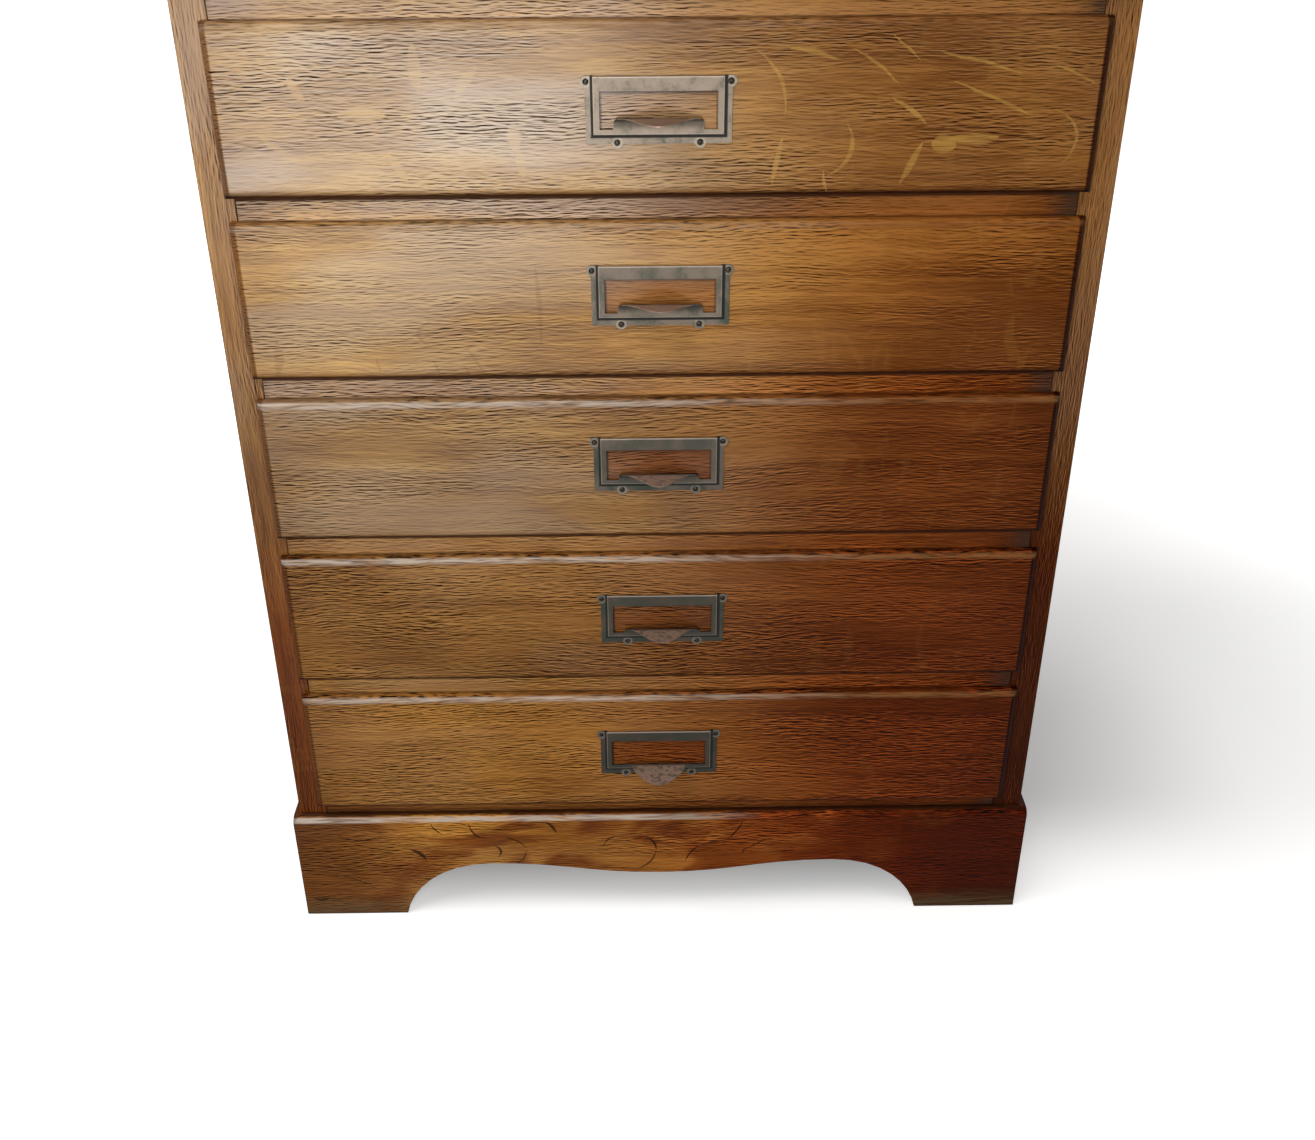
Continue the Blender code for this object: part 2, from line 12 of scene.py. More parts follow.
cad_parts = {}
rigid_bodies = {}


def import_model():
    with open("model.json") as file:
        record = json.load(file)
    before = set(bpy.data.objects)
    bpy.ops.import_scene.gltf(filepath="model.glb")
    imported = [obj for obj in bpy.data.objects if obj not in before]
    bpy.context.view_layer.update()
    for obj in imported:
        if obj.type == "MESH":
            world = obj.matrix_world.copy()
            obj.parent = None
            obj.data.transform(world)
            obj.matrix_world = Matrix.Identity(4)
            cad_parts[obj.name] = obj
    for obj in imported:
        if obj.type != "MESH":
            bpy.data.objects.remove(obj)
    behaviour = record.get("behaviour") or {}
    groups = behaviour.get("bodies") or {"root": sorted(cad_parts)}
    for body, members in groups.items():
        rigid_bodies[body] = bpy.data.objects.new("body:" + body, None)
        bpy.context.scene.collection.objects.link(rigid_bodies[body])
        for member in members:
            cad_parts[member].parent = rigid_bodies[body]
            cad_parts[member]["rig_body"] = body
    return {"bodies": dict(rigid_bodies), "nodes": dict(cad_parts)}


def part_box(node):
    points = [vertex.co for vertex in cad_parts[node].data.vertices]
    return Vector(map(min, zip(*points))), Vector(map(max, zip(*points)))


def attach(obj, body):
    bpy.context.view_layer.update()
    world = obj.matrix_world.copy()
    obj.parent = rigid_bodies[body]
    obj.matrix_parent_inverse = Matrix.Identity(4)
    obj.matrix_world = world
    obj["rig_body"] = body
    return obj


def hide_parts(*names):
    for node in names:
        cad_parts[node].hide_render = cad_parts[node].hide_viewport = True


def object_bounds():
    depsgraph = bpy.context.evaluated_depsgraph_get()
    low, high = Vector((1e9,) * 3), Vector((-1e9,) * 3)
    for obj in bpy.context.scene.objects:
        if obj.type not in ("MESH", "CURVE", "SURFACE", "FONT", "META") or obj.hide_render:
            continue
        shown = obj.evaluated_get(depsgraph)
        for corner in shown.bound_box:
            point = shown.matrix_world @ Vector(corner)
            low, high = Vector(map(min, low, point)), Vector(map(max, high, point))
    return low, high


bl_info = {
    "name": "Archive cabinet",
    "version": (1, 0, 0),
    "blender": (4, 5, 0),
    "location": "View3D > Sidebar > Cabinet",
    "description": "Oak boards, label pulls, screws and stage of an archive cabinet",
    "category": "Object",
}

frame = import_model()
CAD_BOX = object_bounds()
DRAWERS = [body for body in frame["bodies"] if body.startswith("drawer_")]

MILLIMETRE = 0.001

# Sizes of the label pull, from the middle of its window
PULL_TOP = 0.0232
WINDOW_LOW = -0.013
WINDOW_HALF_WIDTH = 0.0412
FRAME_HALF_WIDTH = 0.0458
FRAME_LOW = -0.0167
FRAME_HIGH = 0.0228
FLANGE_FACE = 0.001
FRAME_FACE = 0.0024
TAB_HALF_WIDTH = 0.0317
UPPER_EAR = (0.0502, 0.0192)
LOWER_EAR = (0.0291, -0.0221)

# The view of the photograph
IMAGE_WIDTH = 1315
FOCAL_PIXELS = 1430
SENSOR_WIDTH = 36.0
CAMERA_PLACE = (-0.01335, -1.2295, 0.9557)
CAMERA_YAW = math.radians(0.6345)
CAMERA_PITCH = math.radians(29.767)
CAMERA_ROLL = math.radians(-0.2915)

# How the solids' edges are eased
MERGE_DISTANCE = 0.00001
FLAT_ANGLE = math.radians(0.4)
EASED_ANGLE = math.radians(32)
EASE_SEGMENTS = 2
NORMAL_WEIGHT = 80
FRONT_EASE_SHARE = 0.6

# From where to where the oak's fading with painted light, its gloss and its painted shade change, along x or
# z
BOARD_FADE = (-0.16, 0.21)
STILE_FADE = (0.26, 0.52)
GLOSS_ACROSS = (-0.1, 0.18)
GLOSS_UP = (0.12, 0.7)
PAINTED_SHADE_ACROSS = (-0.14, 0.3)
PAINTED_SHADE_UP = (0.2, 0.78)


# Named values that a user would change

def colour_value(name, description, default):
    return FloatVectorProperty(name=name, description=description, subtype="COLOR", size=3, min=0, max=1,
                               default=default)


def length_value(name, description, least, default):
    return FloatProperty(name=name, description=description, unit="LENGTH", min=least, default=default)


def power_value(name, description, default):
    return FloatProperty(name=name, description=description, subtype="POWER", min=0, default=default)


class OakFinish(PropertyGroup):
    """Colours and grain of the varnished oak."""
    ground: colour_value("Ground", "Middle colour of the varnished oak", (0.4, 0.196, 0.044))
    pale: colour_value("Pale streaks", "Colour of the pale fibres", (0.62, 0.345, 0.095))
    dark: colour_value("Dark streaks", "Colour of the dark fibres", (0.23, 0.096, 0.019))
    pore: colour_value("Pores", "What darkens the oak in its open pores", (0.05, 0.028, 0.02))
    fleck: colour_value("Ray flecks", "Colour of the silver grain", (0.52, 0.305, 0.068))
    # Also the colour of painted shade in gaps, under the drawers' lips, along the pull windows and at the
    # plinth's foot.
    grime_and_shade: colour_value("Grime", "Colour of old, dark finish", (0.06, 0.02, 0.008))
    # Also darkens the drawer fronts' lower edges as painted shade.
    edge: colour_value("Moulded edges", "What darkens the moulded edges", (0.34, 0.19, 0.1))
    # Also the colour of painted highlights on the rubbed edges and of the white painted sheen.
    rubbed: colour_value("Rubbed edges", "Colour of edges that use has rubbed pale", (0.62, 0.52, 0.43))
    # With the fading it also darkens towards the lower right as painted shade.
    unfaded: colour_value("Unfaded", "What darkens oak that the sun has not bleached", (0.5, 0.275, 0.18))
    # Painted shade low down and on the right.
    painted_shade: colour_value("Gloom", "What darkens oak low down, far from the window", (0.48, 0.38, 0.6))
    ash: colour_value("Ashen wood", "Colour of oak that the sun has greyed", (0.41, 0.27, 0.15))
    stain: colour_value("Joint stain", "Blackish stain at the rail joints", (0.05, 0.038, 0.028))
    pore_length: length_value("Pore length", "Length of the fine lines along the grain", 0.001, 0.012)
    pore_width: length_value("Pore width", "Step from a dark line to its pale lip", 0.0002, 0.0008)
    ease: length_value("Eased edge", "Rounding of the boards' sharp edges", 0.0, 0.0008)


class BoxWoodFinish(PropertyGroup):
    """Colours of the bare wood inside."""
    ground: colour_value("Ground", "Middle colour of the bare wood", (0.42, 0.265, 0.125))
    pale: colour_value("Pale streaks", "Colour of the pale wood between the rings", (0.54, 0.37, 0.195))
    dark: colour_value("Dark streaks", "Colour of the rings", (0.27, 0.145, 0.06))
    ease: length_value("Eased edge", "Rounding of the box boards' edges", 0.0, 0.0005)


class PullFinish(PropertyGroup):
    """Colours of the pressed metal pulls."""
    bronze: colour_value("Bronze", "Colour of the dulled metal", (0.2, 0.162, 0.126))
    copper: colour_value("Worn copper", "Colour where fingers keep the metal bare", (0.33, 0.22, 0.165))
    patina: colour_value("Patina", "Colour of the green film", (0.074, 0.112, 0.086))
    # Also the colour of painted shade in the steps and on the tab, and the screw heads' dark colour.
    grime_and_shade: colour_value("Grime", "Colour of dirt in the pressed steps", (0.02, 0.017, 0.014))
    ease: length_value("Eased edge", "Rounding of the sheet's edges", 0.0, 0.00018)


class ScrewSizes(PropertyGroup):
    """Sizes of the slotted screws in the ears."""
    head_radius: length_value("Head radius", "Radius of a screw head", 0.0005, 0.002)
    head_rise: length_value("Head rise", "Height of the domed head", 0.0002, 0.0009)
    slot_width: length_value("Slot width", "Width of the slot", 0.0001, 0.0006)
    slot_depth: length_value("Slot depth", "Depth of the slot", 0.0001, 0.0005)
    seed: IntProperty(name="Seed", description="Fixes how far each screw is turned", default=7)


class StageLook(PropertyGroup):
    """Floor, lights and surroundings."""
    floor_colour: colour_value("Floor", "Colour of the pale floor", (0.9, 0.9, 0.9))
    sky_power: power_value("Sky power", "Power of the large soft lamp overhead", 36.0)
    window_power: power_value("Window power", "Power of the soft lamp in front", 8.0)
    sheen_power: power_value("Sheen power", "Power of the low panel that shows in the varnish", 1.9)
    fill_power: power_value("Fill power", "Power of the soft lamps behind", 10.0)
    surround: FloatProperty(
        name="Surround", description="Brightness of the surroundings as they light the object", min=0,
        default=0.07)


# Shader sums written as plain sums

class Strand:
    """An output socket of a finish, so that sums on it add Math nodes."""

    def __init__(self, finish, socket):
        self.finish = finish
        self.socket = socket

    def _sum(self, operation, first, second):
        return self.finish.add("ShaderNodeMath", {"operation": operation}, {0: first, 1: second})

    def __add__(self, other):
        return self._sum("ADD", self, other)

    def __radd__(self, other):
        return self._sum("ADD", other, self)

    def __sub__(self, other):
        return self._sum("SUBTRACT", self, other)

    def __rsub__(self, other):
        return self._sum("SUBTRACT", other, self)

    def __mul__(self, other):
        return self._sum("MULTIPLY", self, other)

    def __rmul__(self, other):
        return self._sum("MULTIPLY", other, self)

    def __truediv__(self, other):
        return self._sum("DIVIDE", self, other)

    def __abs__(self):
        return self._sum("ABSOLUTE", self, 0.0)

    def fraction(self):
        return self._sum("FRACT", self, 0.0)

    def least(self, other):
        return self._sum("MINIMUM", self, other)

    def most(self, other):
        return self._sum("MAXIMUM", self, other)


class Finish:
    """A material's node tree, with one method that adds any node."""

    def __init__(self, tree):
        tree.nodes.clear()
        self.tree = tree

    def add(self, kind, settings=None, values=None, output=0):
        """Adds a node, sets it up, fills its sockets and returns one of its outputs."""
        node = self.tree.nodes.new(kind)
        for key, value in (settings or {}).items():
            if key == "stops":
                self._fill_ramp(node.color_ramp, value)
            else:
                setattr(node, key, value)
        for key, value in (values or {}).items():
            if isinstance(value, Strand):
                self.tree.links.new(value.socket, node.inputs[key])
            else:
                node.inputs[key].default_value = value
        if len(node.outputs) == 0:
            return None
        return Strand(self, node.outputs[output])

    @staticmethod
    def _fill_ramp(ramp, stops):
        while len(ramp.elements) < len(stops):
            ramp.elements.new(1.0)
        for element, (place, colour) in zip(ramp.elements, stops):
            element.position = place
            element.color = (*colour, 1.0)

    def split(self, vector):
        return [self.add("ShaderNodeSeparateXYZ", None, {0: vector}, axis) for axis in range(3)]

    def gather(self, x, y, z):
        return self.add("ShaderNodeCombineXYZ", None, {0: x, 1: y, 2: z})

    def place(self):
        """Object coordinates."""
        return self.add("ShaderNodeTexCoord", None, None, "Object")

    def shifted(self, vector, shift):
        return self.add("ShaderNodeVectorMath", {"operation": "ADD"}, {0: vector, 1: shift})

    def length(self, vector):
        return self.add("ShaderNodeVectorMath", {"operation": "LENGTH"}, {0: vector}, 1)

    def noise(self, vector, scale, detail=2.0, roughness=0.5, distortion=0.0):
        """Noise on a vector that is stretched by the scale's three numbers."""
        stretched = self.add("ShaderNodeVectorMath", {"operation": "MULTIPLY"}, {0: vector, 1: scale})
        values = {"Vector": stretched, "Scale": 1.0, "Detail": detail, "Roughness": roughness,
                  "Distortion": distortion}
        return self.add("ShaderNodeTexNoise", {"noise_dimensions": "3D"}, values)

    def ease(self, value, low, high):
        """0 below low, 1 above high, smooth between."""
        values = {"Value": value, "From Min": low, "From Max": high}
        return self.add("ShaderNodeMapRange", {"interpolation_type": "SMOOTHSTEP"}, values)

    def fall(self, value, low, high):
        """1 below low, 0 above high, smooth between."""
        return 1.0 - self.ease(value, low, high)

    def blend(self, factor, first, second, kind="MIX"):
        """Goes from the first colour to the second as far as the factor says."""
        settings = {"data_type": "RGBA", "blend_type": kind, "clamp_factor": True}
        values = {0: factor, 6: self._colour(first), 7: self._colour(second)}
        return self.add("ShaderNodeMix", settings, values, 2)

    def ramp(self, factor, stops):
        return self.add("ShaderNodeValToRGB", {"stops": stops}, {0: factor})

    @staticmethod
    def _colour(value):
        return value if isinstance(value, Strand) else (*value, 1.0)


class Layers:
    """A colour of a finish that is painted over step by step."""

    def __init__(self, finish, colour):
        self.finish = finish
        self.colour = colour

    def cover(self, factor, colour):
        self.colour = self.finish.blend(factor, self.colour, colour)

    # Multiplies the colour: real stains and tones, and also painted shade and painted highlights.
    def stain(self, factor, gains):
        self.colour = self.finish.blend(factor, self.colour, gains, "MULTIPLY")


def new_finish(name):
    """An empty material and its finish."""
    material = bpy.data.materials.new(name)
    material.use_nodes = True
    return material, Finish(material.node_tree)


def surface(finish, colour, roughness, height, depth, strength, settings):
    """Ends a finish in one Principled shader with a bump."""
    bump = finish.add("ShaderNodeBump", None, {"Strength": strength, "Distance": depth, "Height": height})
    values = {"Base Color": colour, "Roughness": roughness, "Normal": bump, **settings}
    shader = finish.add("ShaderNodeBsdfPrincipled", None, values)
    finish.add("ShaderNodeOutputMaterial", None, {"Surface": shader})


# Oak

# Which axes lie along, across and into a board, by the direction of its grain
GRAIN_ORDER = {"x": (0, 2, 1), "z": (2, 0, 1), "y": (1, 0, 2)}
# How often the noise turns along, across and into a board, per metre
SWAY_SCALE = (2.6, 7.0, 7.0)
RIPPLE_SCALE = (17.0, 24.0, 24.0)
RING_SCALE = (1.1, 120.0, 70.0)
FIBRE_SCALE = (34.0, 480.0, 480.0)
BLOTCH_SCALE = (4.5, 9.0, 9.0)
CROWD_SCALE = (6.0, 34.0, 34.0)
ASH_SCALE = (6.0, 16.0, 16.0)
SPOT_SCALE = (58.0, 24.0, 24.0)
WOBBLE_SCALE = (60.0, 90.0, 90.0)


class Grain:
    """The figure of one board on Object coordinates: broad tones, and fine dark lines with pale lips, partly
    painted highlights.
    """

    def __init__(self, finish, look, direction, shift, waver, open_pores):
        self.finish = finish
        place = finish.place()
        self.here = finish.split(place)
        parts = finish.split(finish.shifted(place, shift))
        along, across, depth = [parts[axis] for axis in GRAIN_ORDER[direction]]
        self.straight = finish.gather(along, across, depth)
        sway = finish.noise(self.straight, SWAY_SCALE, 1.5) - 0.5
        ripple = finish.noise(self.straight, RIPPLE_SCALE, 1.0) - 0.5
        bent = across + (sway * waver + ripple * (0.16 * waver))
        flow = finish.gather(along, bent, depth)
        self.rings = finish.noise(flow, RING_SCALE, 2.0, 0.6)
        self.fibres = finish.noise(flow, FIBRE_SCALE, 1.5, 0.65)
        self.blotch = finish.noise(self.straight, BLOTCH_SCALE, 2.5, 0.55)
        self.comb = finish.ease(self.fibres, 0.34, 0.62)
        scale = (1.0 / look.pore_length, 0.7 / look.pore_width, 0.7 / look.pore_width)
        beside = finish.gather(along, bent + look.pore_width, depth)
        slope = finish.noise(flow, scale, 1.0, 0.6) - finish.noise(beside, scale, 1.0, 0.6)
        crowd = finish.ease(finish.noise(self.straight, CROWD_SCALE, 2.0), 0.3, 0.7)
        # The dark side of each fine line is an open pore; the pale side is partly pale fibre and partly a
        # painted highlight on the lip.
        wave = slope * (3.4 * open_pores) * (crowd * 1.4 + 0.3)
        self.pores = wave.most(0.0).least(1.0)
        self.glints = (0.0 - wave).most(0.0).least(1.0)
        # Where a detail takes the gloss away
        self.dull = 0.0

    def strokes(self, marks):
        """The strongest of some arcs: five lengths of each in millimetres, and its turn."""
        finish = self.finish
        x, _, z = self.here
        wobble = (finish.noise(self.straight, WOBBLE_SCALE, 2.0) - 0.5) * 0.004
        strongest = finish.add("ShaderNodeValue")
        for *lengths, turn in marks:
            mark_x, mark_z, reach, rise, width = [length * MILLIMETRE for length in lengths]
            away_x = x - mark_x
            away_z = z - mark_z + wobble
            along = (away_x * math.cos(turn) + away_z * math.sin(turn)) / reach
            bow = (1.0 - along * along).most(0.0)
            off = abs(away_z * math.cos(turn) - away_x * math.sin(turn) - bow * rise)
            band = finish.fall(off / (bow + 0.1), width * 0.6, width * 1.2)
            strongest = strongest.most(band * finish.ease(bow, 0.0, 0.15))
        return strongest


def tint(colour, factors):
    return tuple(part * factor for part, factor in zip(colour, factors))


def weathering_and_light(finish, here, upright, fade, gloss):
    """How bleached (partly sun, partly painted light) and how shiny the finish is: most of both towards the
    window on the upper left.
    """
    x, _, z = here
    lit = finish.ease(z, *STILE_FADE) if upright else finish.fall(x, *BOARD_FADE)
    faded_and_lit = fade[0] + lit * (fade[1] - fade[0])
    kept = finish.fall(x, *GLOSS_ACROSS) * (0.15 + finish.ease(z, *GLOSS_UP) * 0.85)
    return faded_and_lit, kept * gloss


def in_painted_shade(finish, look, grain, upright, layers):
    """Painted shade low down and on the right, where the pale lips of the grain get painted highlights."""
    x, _, z = grain.here
    least = 0.4 if upright else 0.0
    painted_shade = least + finish.ease(x, *PAINTED_SHADE_ACROSS) * (1.0 - least)
    painted_shade = painted_shade * finish.fall(z, *PAINTED_SHADE_UP)
    deep = tint(look.painted_shade, (0.55, 0.65, 0.75)) if upright else look.painted_shade
    layers.stain(painted_shade * 0.9, deep)
    layers.stain(grain.glints * painted_shade * 0.85, (2.8, 2.4, 2.0))


def oak(name, direction, shift, fade, tone=(1.0, 1.0, 1.0), waver=0.02, flecks=0.2, open_pores=0.7,
        rays=(), veins=(), gloss_and_painted_sheen=0.0, details=()):
    """Varnished quarter-sawn oak; it fades, by sun and by painted light, from the first value at the right or
    foot to the second.
    """
    look = bpy.context.scene.cabinet_oak
    upright = direction == "z"
    material, finish = new_finish(name)
    grain = Grain(finish, look, direction, shift, waver, open_pores)
    faded_and_lit, coat = weathering_and_light(finish, grain.here, upright, fade, 0.65 + 0.32 * gloss_and_painted_sheen)
    pale = tint(look.pale, tone)
    shade = 0.5 + (grain.rings - 0.5) * 1.1 + (grain.fibres - 0.5) * 0.9 + (grain.blotch - 0.5) * 2.4
    stops = [(0.1, tint(look.dark, tone)), (0.5, tint(look.ground, tone)), (0.9, pale)]
    layers = Layers(finish, finish.ramp(shade, stops))
    ashen = finish.ease(finish.noise(grain.straight, ASH_SCALE, 1.5), 0.42, 0.62)
    layers.cover(ashen * faded_and_lit * (0.35 + gloss_and_painted_sheen * 0.25), tint(look.ash, tone))
    spots = finish.noise(grain.straight, SPOT_SCALE, 2.0, 0.5, 0.9)
    fleck = finish.ease(spots, 0.57, 0.68) * flecks
    if rays:
        fleck = fleck.most(grain.strokes(rays) * (0.45 + grain.comb * 0.55))
    # Pale lips, whitish with the painted sheen on the upper left, then the white painted sheen itself.
    lips = finish.blend(faded_and_lit * gloss_and_painted_sheen * 0.75, pale, look.rubbed)
    layers.cover(grain.glints * 0.75, lips)
    layers.cover(faded_and_lit * faded_and_lit * gloss_and_painted_sheen * 0.22, look.rubbed)
    pores = grain.pores * (1.0 - fleck * 0.85)
    layers.stain(pores, look.pore)
    # Darker where less faded: unfaded oak, and painted shade towards the lower right.
    layers.stain(1.0 - faded_and_lit, look.unfaded)
    layers.cover(fleck * (0.56 - faded_and_lit * 0.34), tint(look.fleck, tone))
    in_painted_shade(finish, look, grain, upright, layers)
    if veins:
        layers.stain(grain.strokes(veins) * 0.85, tint(look.pore, (0.8, 0.7, 0.6)))
    for paint in details:
        paint(finish, look, grain, layers)
    coat = coat * (0.55 + ashen * 0.45) * (1.0 - grain.dull) * (1.0 - pores)
    roughness = 0.4 + (grain.blotch - 0.5) * 0.16 + pores * 0.22
    height = grain.fibres * 0.25 - pores * 0.8 + fleck * 0.12
    settings = {"Specular IOR Level": 0.04, "Coat Weight": coat, "Coat Roughness": 0.22}
    surface(finish, layers.colour, roughness, height, 0.0006, 0.5, settings)
    return material


def cross_marks(marks):
    """Soft darker marks that lie across the grain."""
    def paint(finish, look, grain, layers):
        if marks:
            layers.stain(grain.strokes(marks) * 0.4, (0.72, 0.64, 0.56))
    return paint


def moulded_edges(low, high, back, rub_and_highlight):
    """Dark old finish on a drawer front's moulded edges, painted shade on the lower edge and in the gap at
    its back, and a rubbed upper edge with a painted highlight.
    """
    def paint(finish, look, grain, layers):
        x, y, z = grain.here
        sides = (x - low.x).least(high.x - x)
        ends = finish.fall(sides, 0.004, 0.05)
        layers.stain(ends * (0.05 + grain.rings * 0.4), look.edge)
        rightwards = finish.ease(x, -0.1, 0.1)
        rim = finish.fall(sides, 0.0042, 0.006)
        dark = finish.blend(rightwards, look.edge, tint(look.edge, (0.45, 0.45, 0.6)))
        layers.stain(rim * (0.75 + rightwards * 0.25), dark)
        # Painted shade on the lower edge, which faces down.
        foot = finish.fall(z - low.z, 0.004, 0.008)
        layers.stain(foot * max(0.0, 0.6 - rub_and_highlight * 0.8), look.edge)
        under = finish.fall(z - low.z, 0.002, 0.0046)
        layers.stain(under * 0.95, tint(look.edge, (0.4, 0.35, 0.35)))
        crown = finish.fall(high.z - z, 0.0046, 0.0064)
        layers.stain(crown * 0.3, look.edge)
        # The pale upper band is partly wear and partly a painted highlight, whiter on the left.
        worn_and_highlight = finish.ease(high.z - z, 0.0004, 0.002) * finish.fall(high.z - z, 0.0036, 0.007)
        tan = finish.blend(finish.ease(x, -0.05, 0.2), look.rubbed, (0.3, 0.135, 0.048))
        layers.cover(worn_and_highlight * (grain.comb * 0.75 + 0.25) * rub_and_highlight, tan)
        # Painted shade in the gap at the back of the lip, against the rail.
        gap = finish.ease(y - back, -0.0012, -0.0004)
        grain.dull = rim.most(foot).most(crown * (1.0 - rub_and_highlight))
        layers.cover(gap * 0.9, look.grime_and_shade)
    return paint


def behind_card(middle, depth):
    """Red, unfaded wood in the pull's window, where a card kept the sun off, and dirt with painted shadow
    along its edges.
    """
    def paint(finish, look, grain, layers):
        x, _, z = grain.here
        wide = finish.fall(abs(x - middle[0]), 0.0425, 0.044)
        tall = finish.fall(abs(z - middle[1]), 0.014, 0.0155)
        layers.stain(wide * tall * depth, (0.55, 0.34, 0.28))
        # Dirt and the raised frame's painted shadow along the window's left, upper and right edges.
        left = finish.fall(x - (middle[0] - WINDOW_HALF_WIDTH), 0.0006, 0.0024)
        upper = finish.fall(middle[1] - WINDOW_LOW - z, 0.0008, 0.0034)
        right = finish.fall(middle[0] + WINDOW_HALF_WIDTH - x, 0.0004, 0.0018)
        layers.cover(left.most(upper).most(right * 0.7) * wide * tall * 0.9, look.grime_and_shade)
    return paint


def lip_shadow(low, high, lap):
    """Painted shadow on a rail close under the drawer above it, narrower higher up, and painted shade over
    the one below.
    """
    def paint(finish, look, grain, layers):
        z = grain.here[2]
        reach = 0.0054 - high.z * 0.0032
        above = finish.fall(high.z - lap - z, reach - 0.001, reach + 0.0008)
        beneath = finish.fall(z - low.z - lap, 0.0002, 0.0016)
        grain.dull = above
        layers.cover(above.most(beneath * 0.5) * 0.95, look.grime_and_shade)
    return paint


# Rows counted below the floor, so that no fraction is taken of a negative number
ROWS_BELOW = 8.0


def side_gap_shade(reach, first, pitch, height):
    """Painted shade on a case side in the gaps along the drawers' edges."""
    def paint(finish, look, grain, layers):
        level = ((grain.here[2] - first) / pitch + ROWS_BELOW).fraction()
        beside = finish.fall(level, height / pitch - 0.01, height / pitch)
        gap = finish.fall(abs(grain.here[0]) - reach, 0.0004, 0.0024)
        layers.cover(gap * beside * 0.9, look.grime_and_shade)
    return paint


def joint_stain(half_width):
    """Blackish stain where the rails meet the case sides."""
    def paint(finish, look, grain, layers):
        gap = half_width - abs(grain.here[0])
        ends = finish.fall(gap, 0.008, 0.06)
        layers.stain(ends * (0.1 + grain.rings * 0.5), look.edge)
        rightwards = finish.ease(grain.here[0], -0.1, 0.1)
        near = finish.fall(gap + (grain.blotch - 0.5) * 0.01, 0.0, 0.005 + rightwards * 0.024)
        layers.cover(near * (0.25 + rightwards * 0.45), look.stain)
    return paint


def floor_wear_and_painted_light(height, ledge):
    """Gold and red patches, dark ends, grey wood near the floor, painted contact shadow at the floor, a
    rubbed top edge with a painted highlight and dirt with painted shade behind it.
    """
    def paint(finish, look, grain, layers):
        x, y, z = grain.here
        patches = finish.noise(grain.straight, (13.0, 26.0, 26.0), 2.0, 0.55, 0.6)
        gold = finish.ease(x, -0.3, -0.16) * finish.fall(x, 0.0, 0.2) * finish.ease(patches, 0.4, 0.56)
        layers.stain(gold * 0.75, (1.6, 1.75, 1.6))
        red = finish.ease(0.6 - patches + x * 0.5, -0.02, 0.16)
        layers.stain(red * 0.8, (0.66, 0.44, 0.3))
        ends = finish.fall(x, -0.33, -0.2).most(finish.ease(x, 0.09, 0.31))
        layers.stain(ends * 0.85, (0.46, 0.38, 0.4))
        low = finish.fall(z + (grain.blotch - 0.5) * 0.03, 0.004, 0.026)
        layers.cover(low * (0.25 + grain.comb * 0.5), (0.15, 0.105, 0.05))
        # Painted contact shadow along the floor.
        foot = finish.fall(z, 0.0005, 0.003)
        layers.cover(foot * 0.8, look.grime_and_shade)
        # The rubbed top edge is partly wear and partly a painted highlight, on the left.
        drop = height - z
        edge = finish.fall(drop, 0.0045, 0.0068) * finish.ease(drop, 0.0008, 0.0018)
        left = finish.fall(x, 0.0, 0.1)
        layers.cover(edge * left * (0.35 + grain.comb * 0.6), look.rubbed)
        # Dirt and painted shade on the ledge against the case.
        corner = finish.ease(y, ledge - 0.006, ledge - 0.003) * finish.fall(drop, 0.0006, 0.0016)
        layers.cover(corner * 0.9, look.grime_and_shade)
    return paint


def box_wood(name, direction, shift):
    """Bare, lightly soiled wood for the drawer boxes, the runners and the back."""
    look = bpy.context.scene.cabinet_box_wood
    oak_look = bpy.context.scene.cabinet_oak
    material, finish = new_finish(name)
    grain = Grain(finish, oak_look, direction, shift, 0.03, 0.7)
    rings = finish.noise(grain.straight, (1.6, 46.0, 46.0), 2.0, 0.55, 0.4)
    shade = 0.5 + (rings - 0.5) * 1.5 + (grain.fibres - 0.5) * 0.5 + (grain.blotch - 0.5) * 0.6
    stops = [(0.15, look.dark), (0.5, look.ground), (0.85, look.pale)]
    layers = Layers(finish, finish.ramp(shade, stops))
    soil = finish.noise(grain.straight, (7.0, 11.0, 11.0), 3.0, 0.6)
    layers.cover(finish.ease(soil, 0.52, 0.75) * 0.45, tint(look.dark, (0.6,) * 3))
    layers.cover(grain.pores * 0.25, look.dark)
    roughness = 0.62 + (soil - 0.5) * 0.2
    height = grain.fibres * 0.4 - grain.pores * 0.4
    surface(finish, layers.colour, roughness, height, 0.0004, 0.4, {"Specular IOR Level": 0.3})
    return material


# Metal

def ear_rings(finish, x, z):
    """1 on the paler rims round the four screw holes."""
    far = [finish.length(finish.gather(abs(x) - ear_x, 0.0, z - ear_z))
           for ear_x, ear_z in (UPPER_EAR, LOWER_EAR)]
    return finish.fall(far[0].least(far[1]), 0.0036, 0.0044)


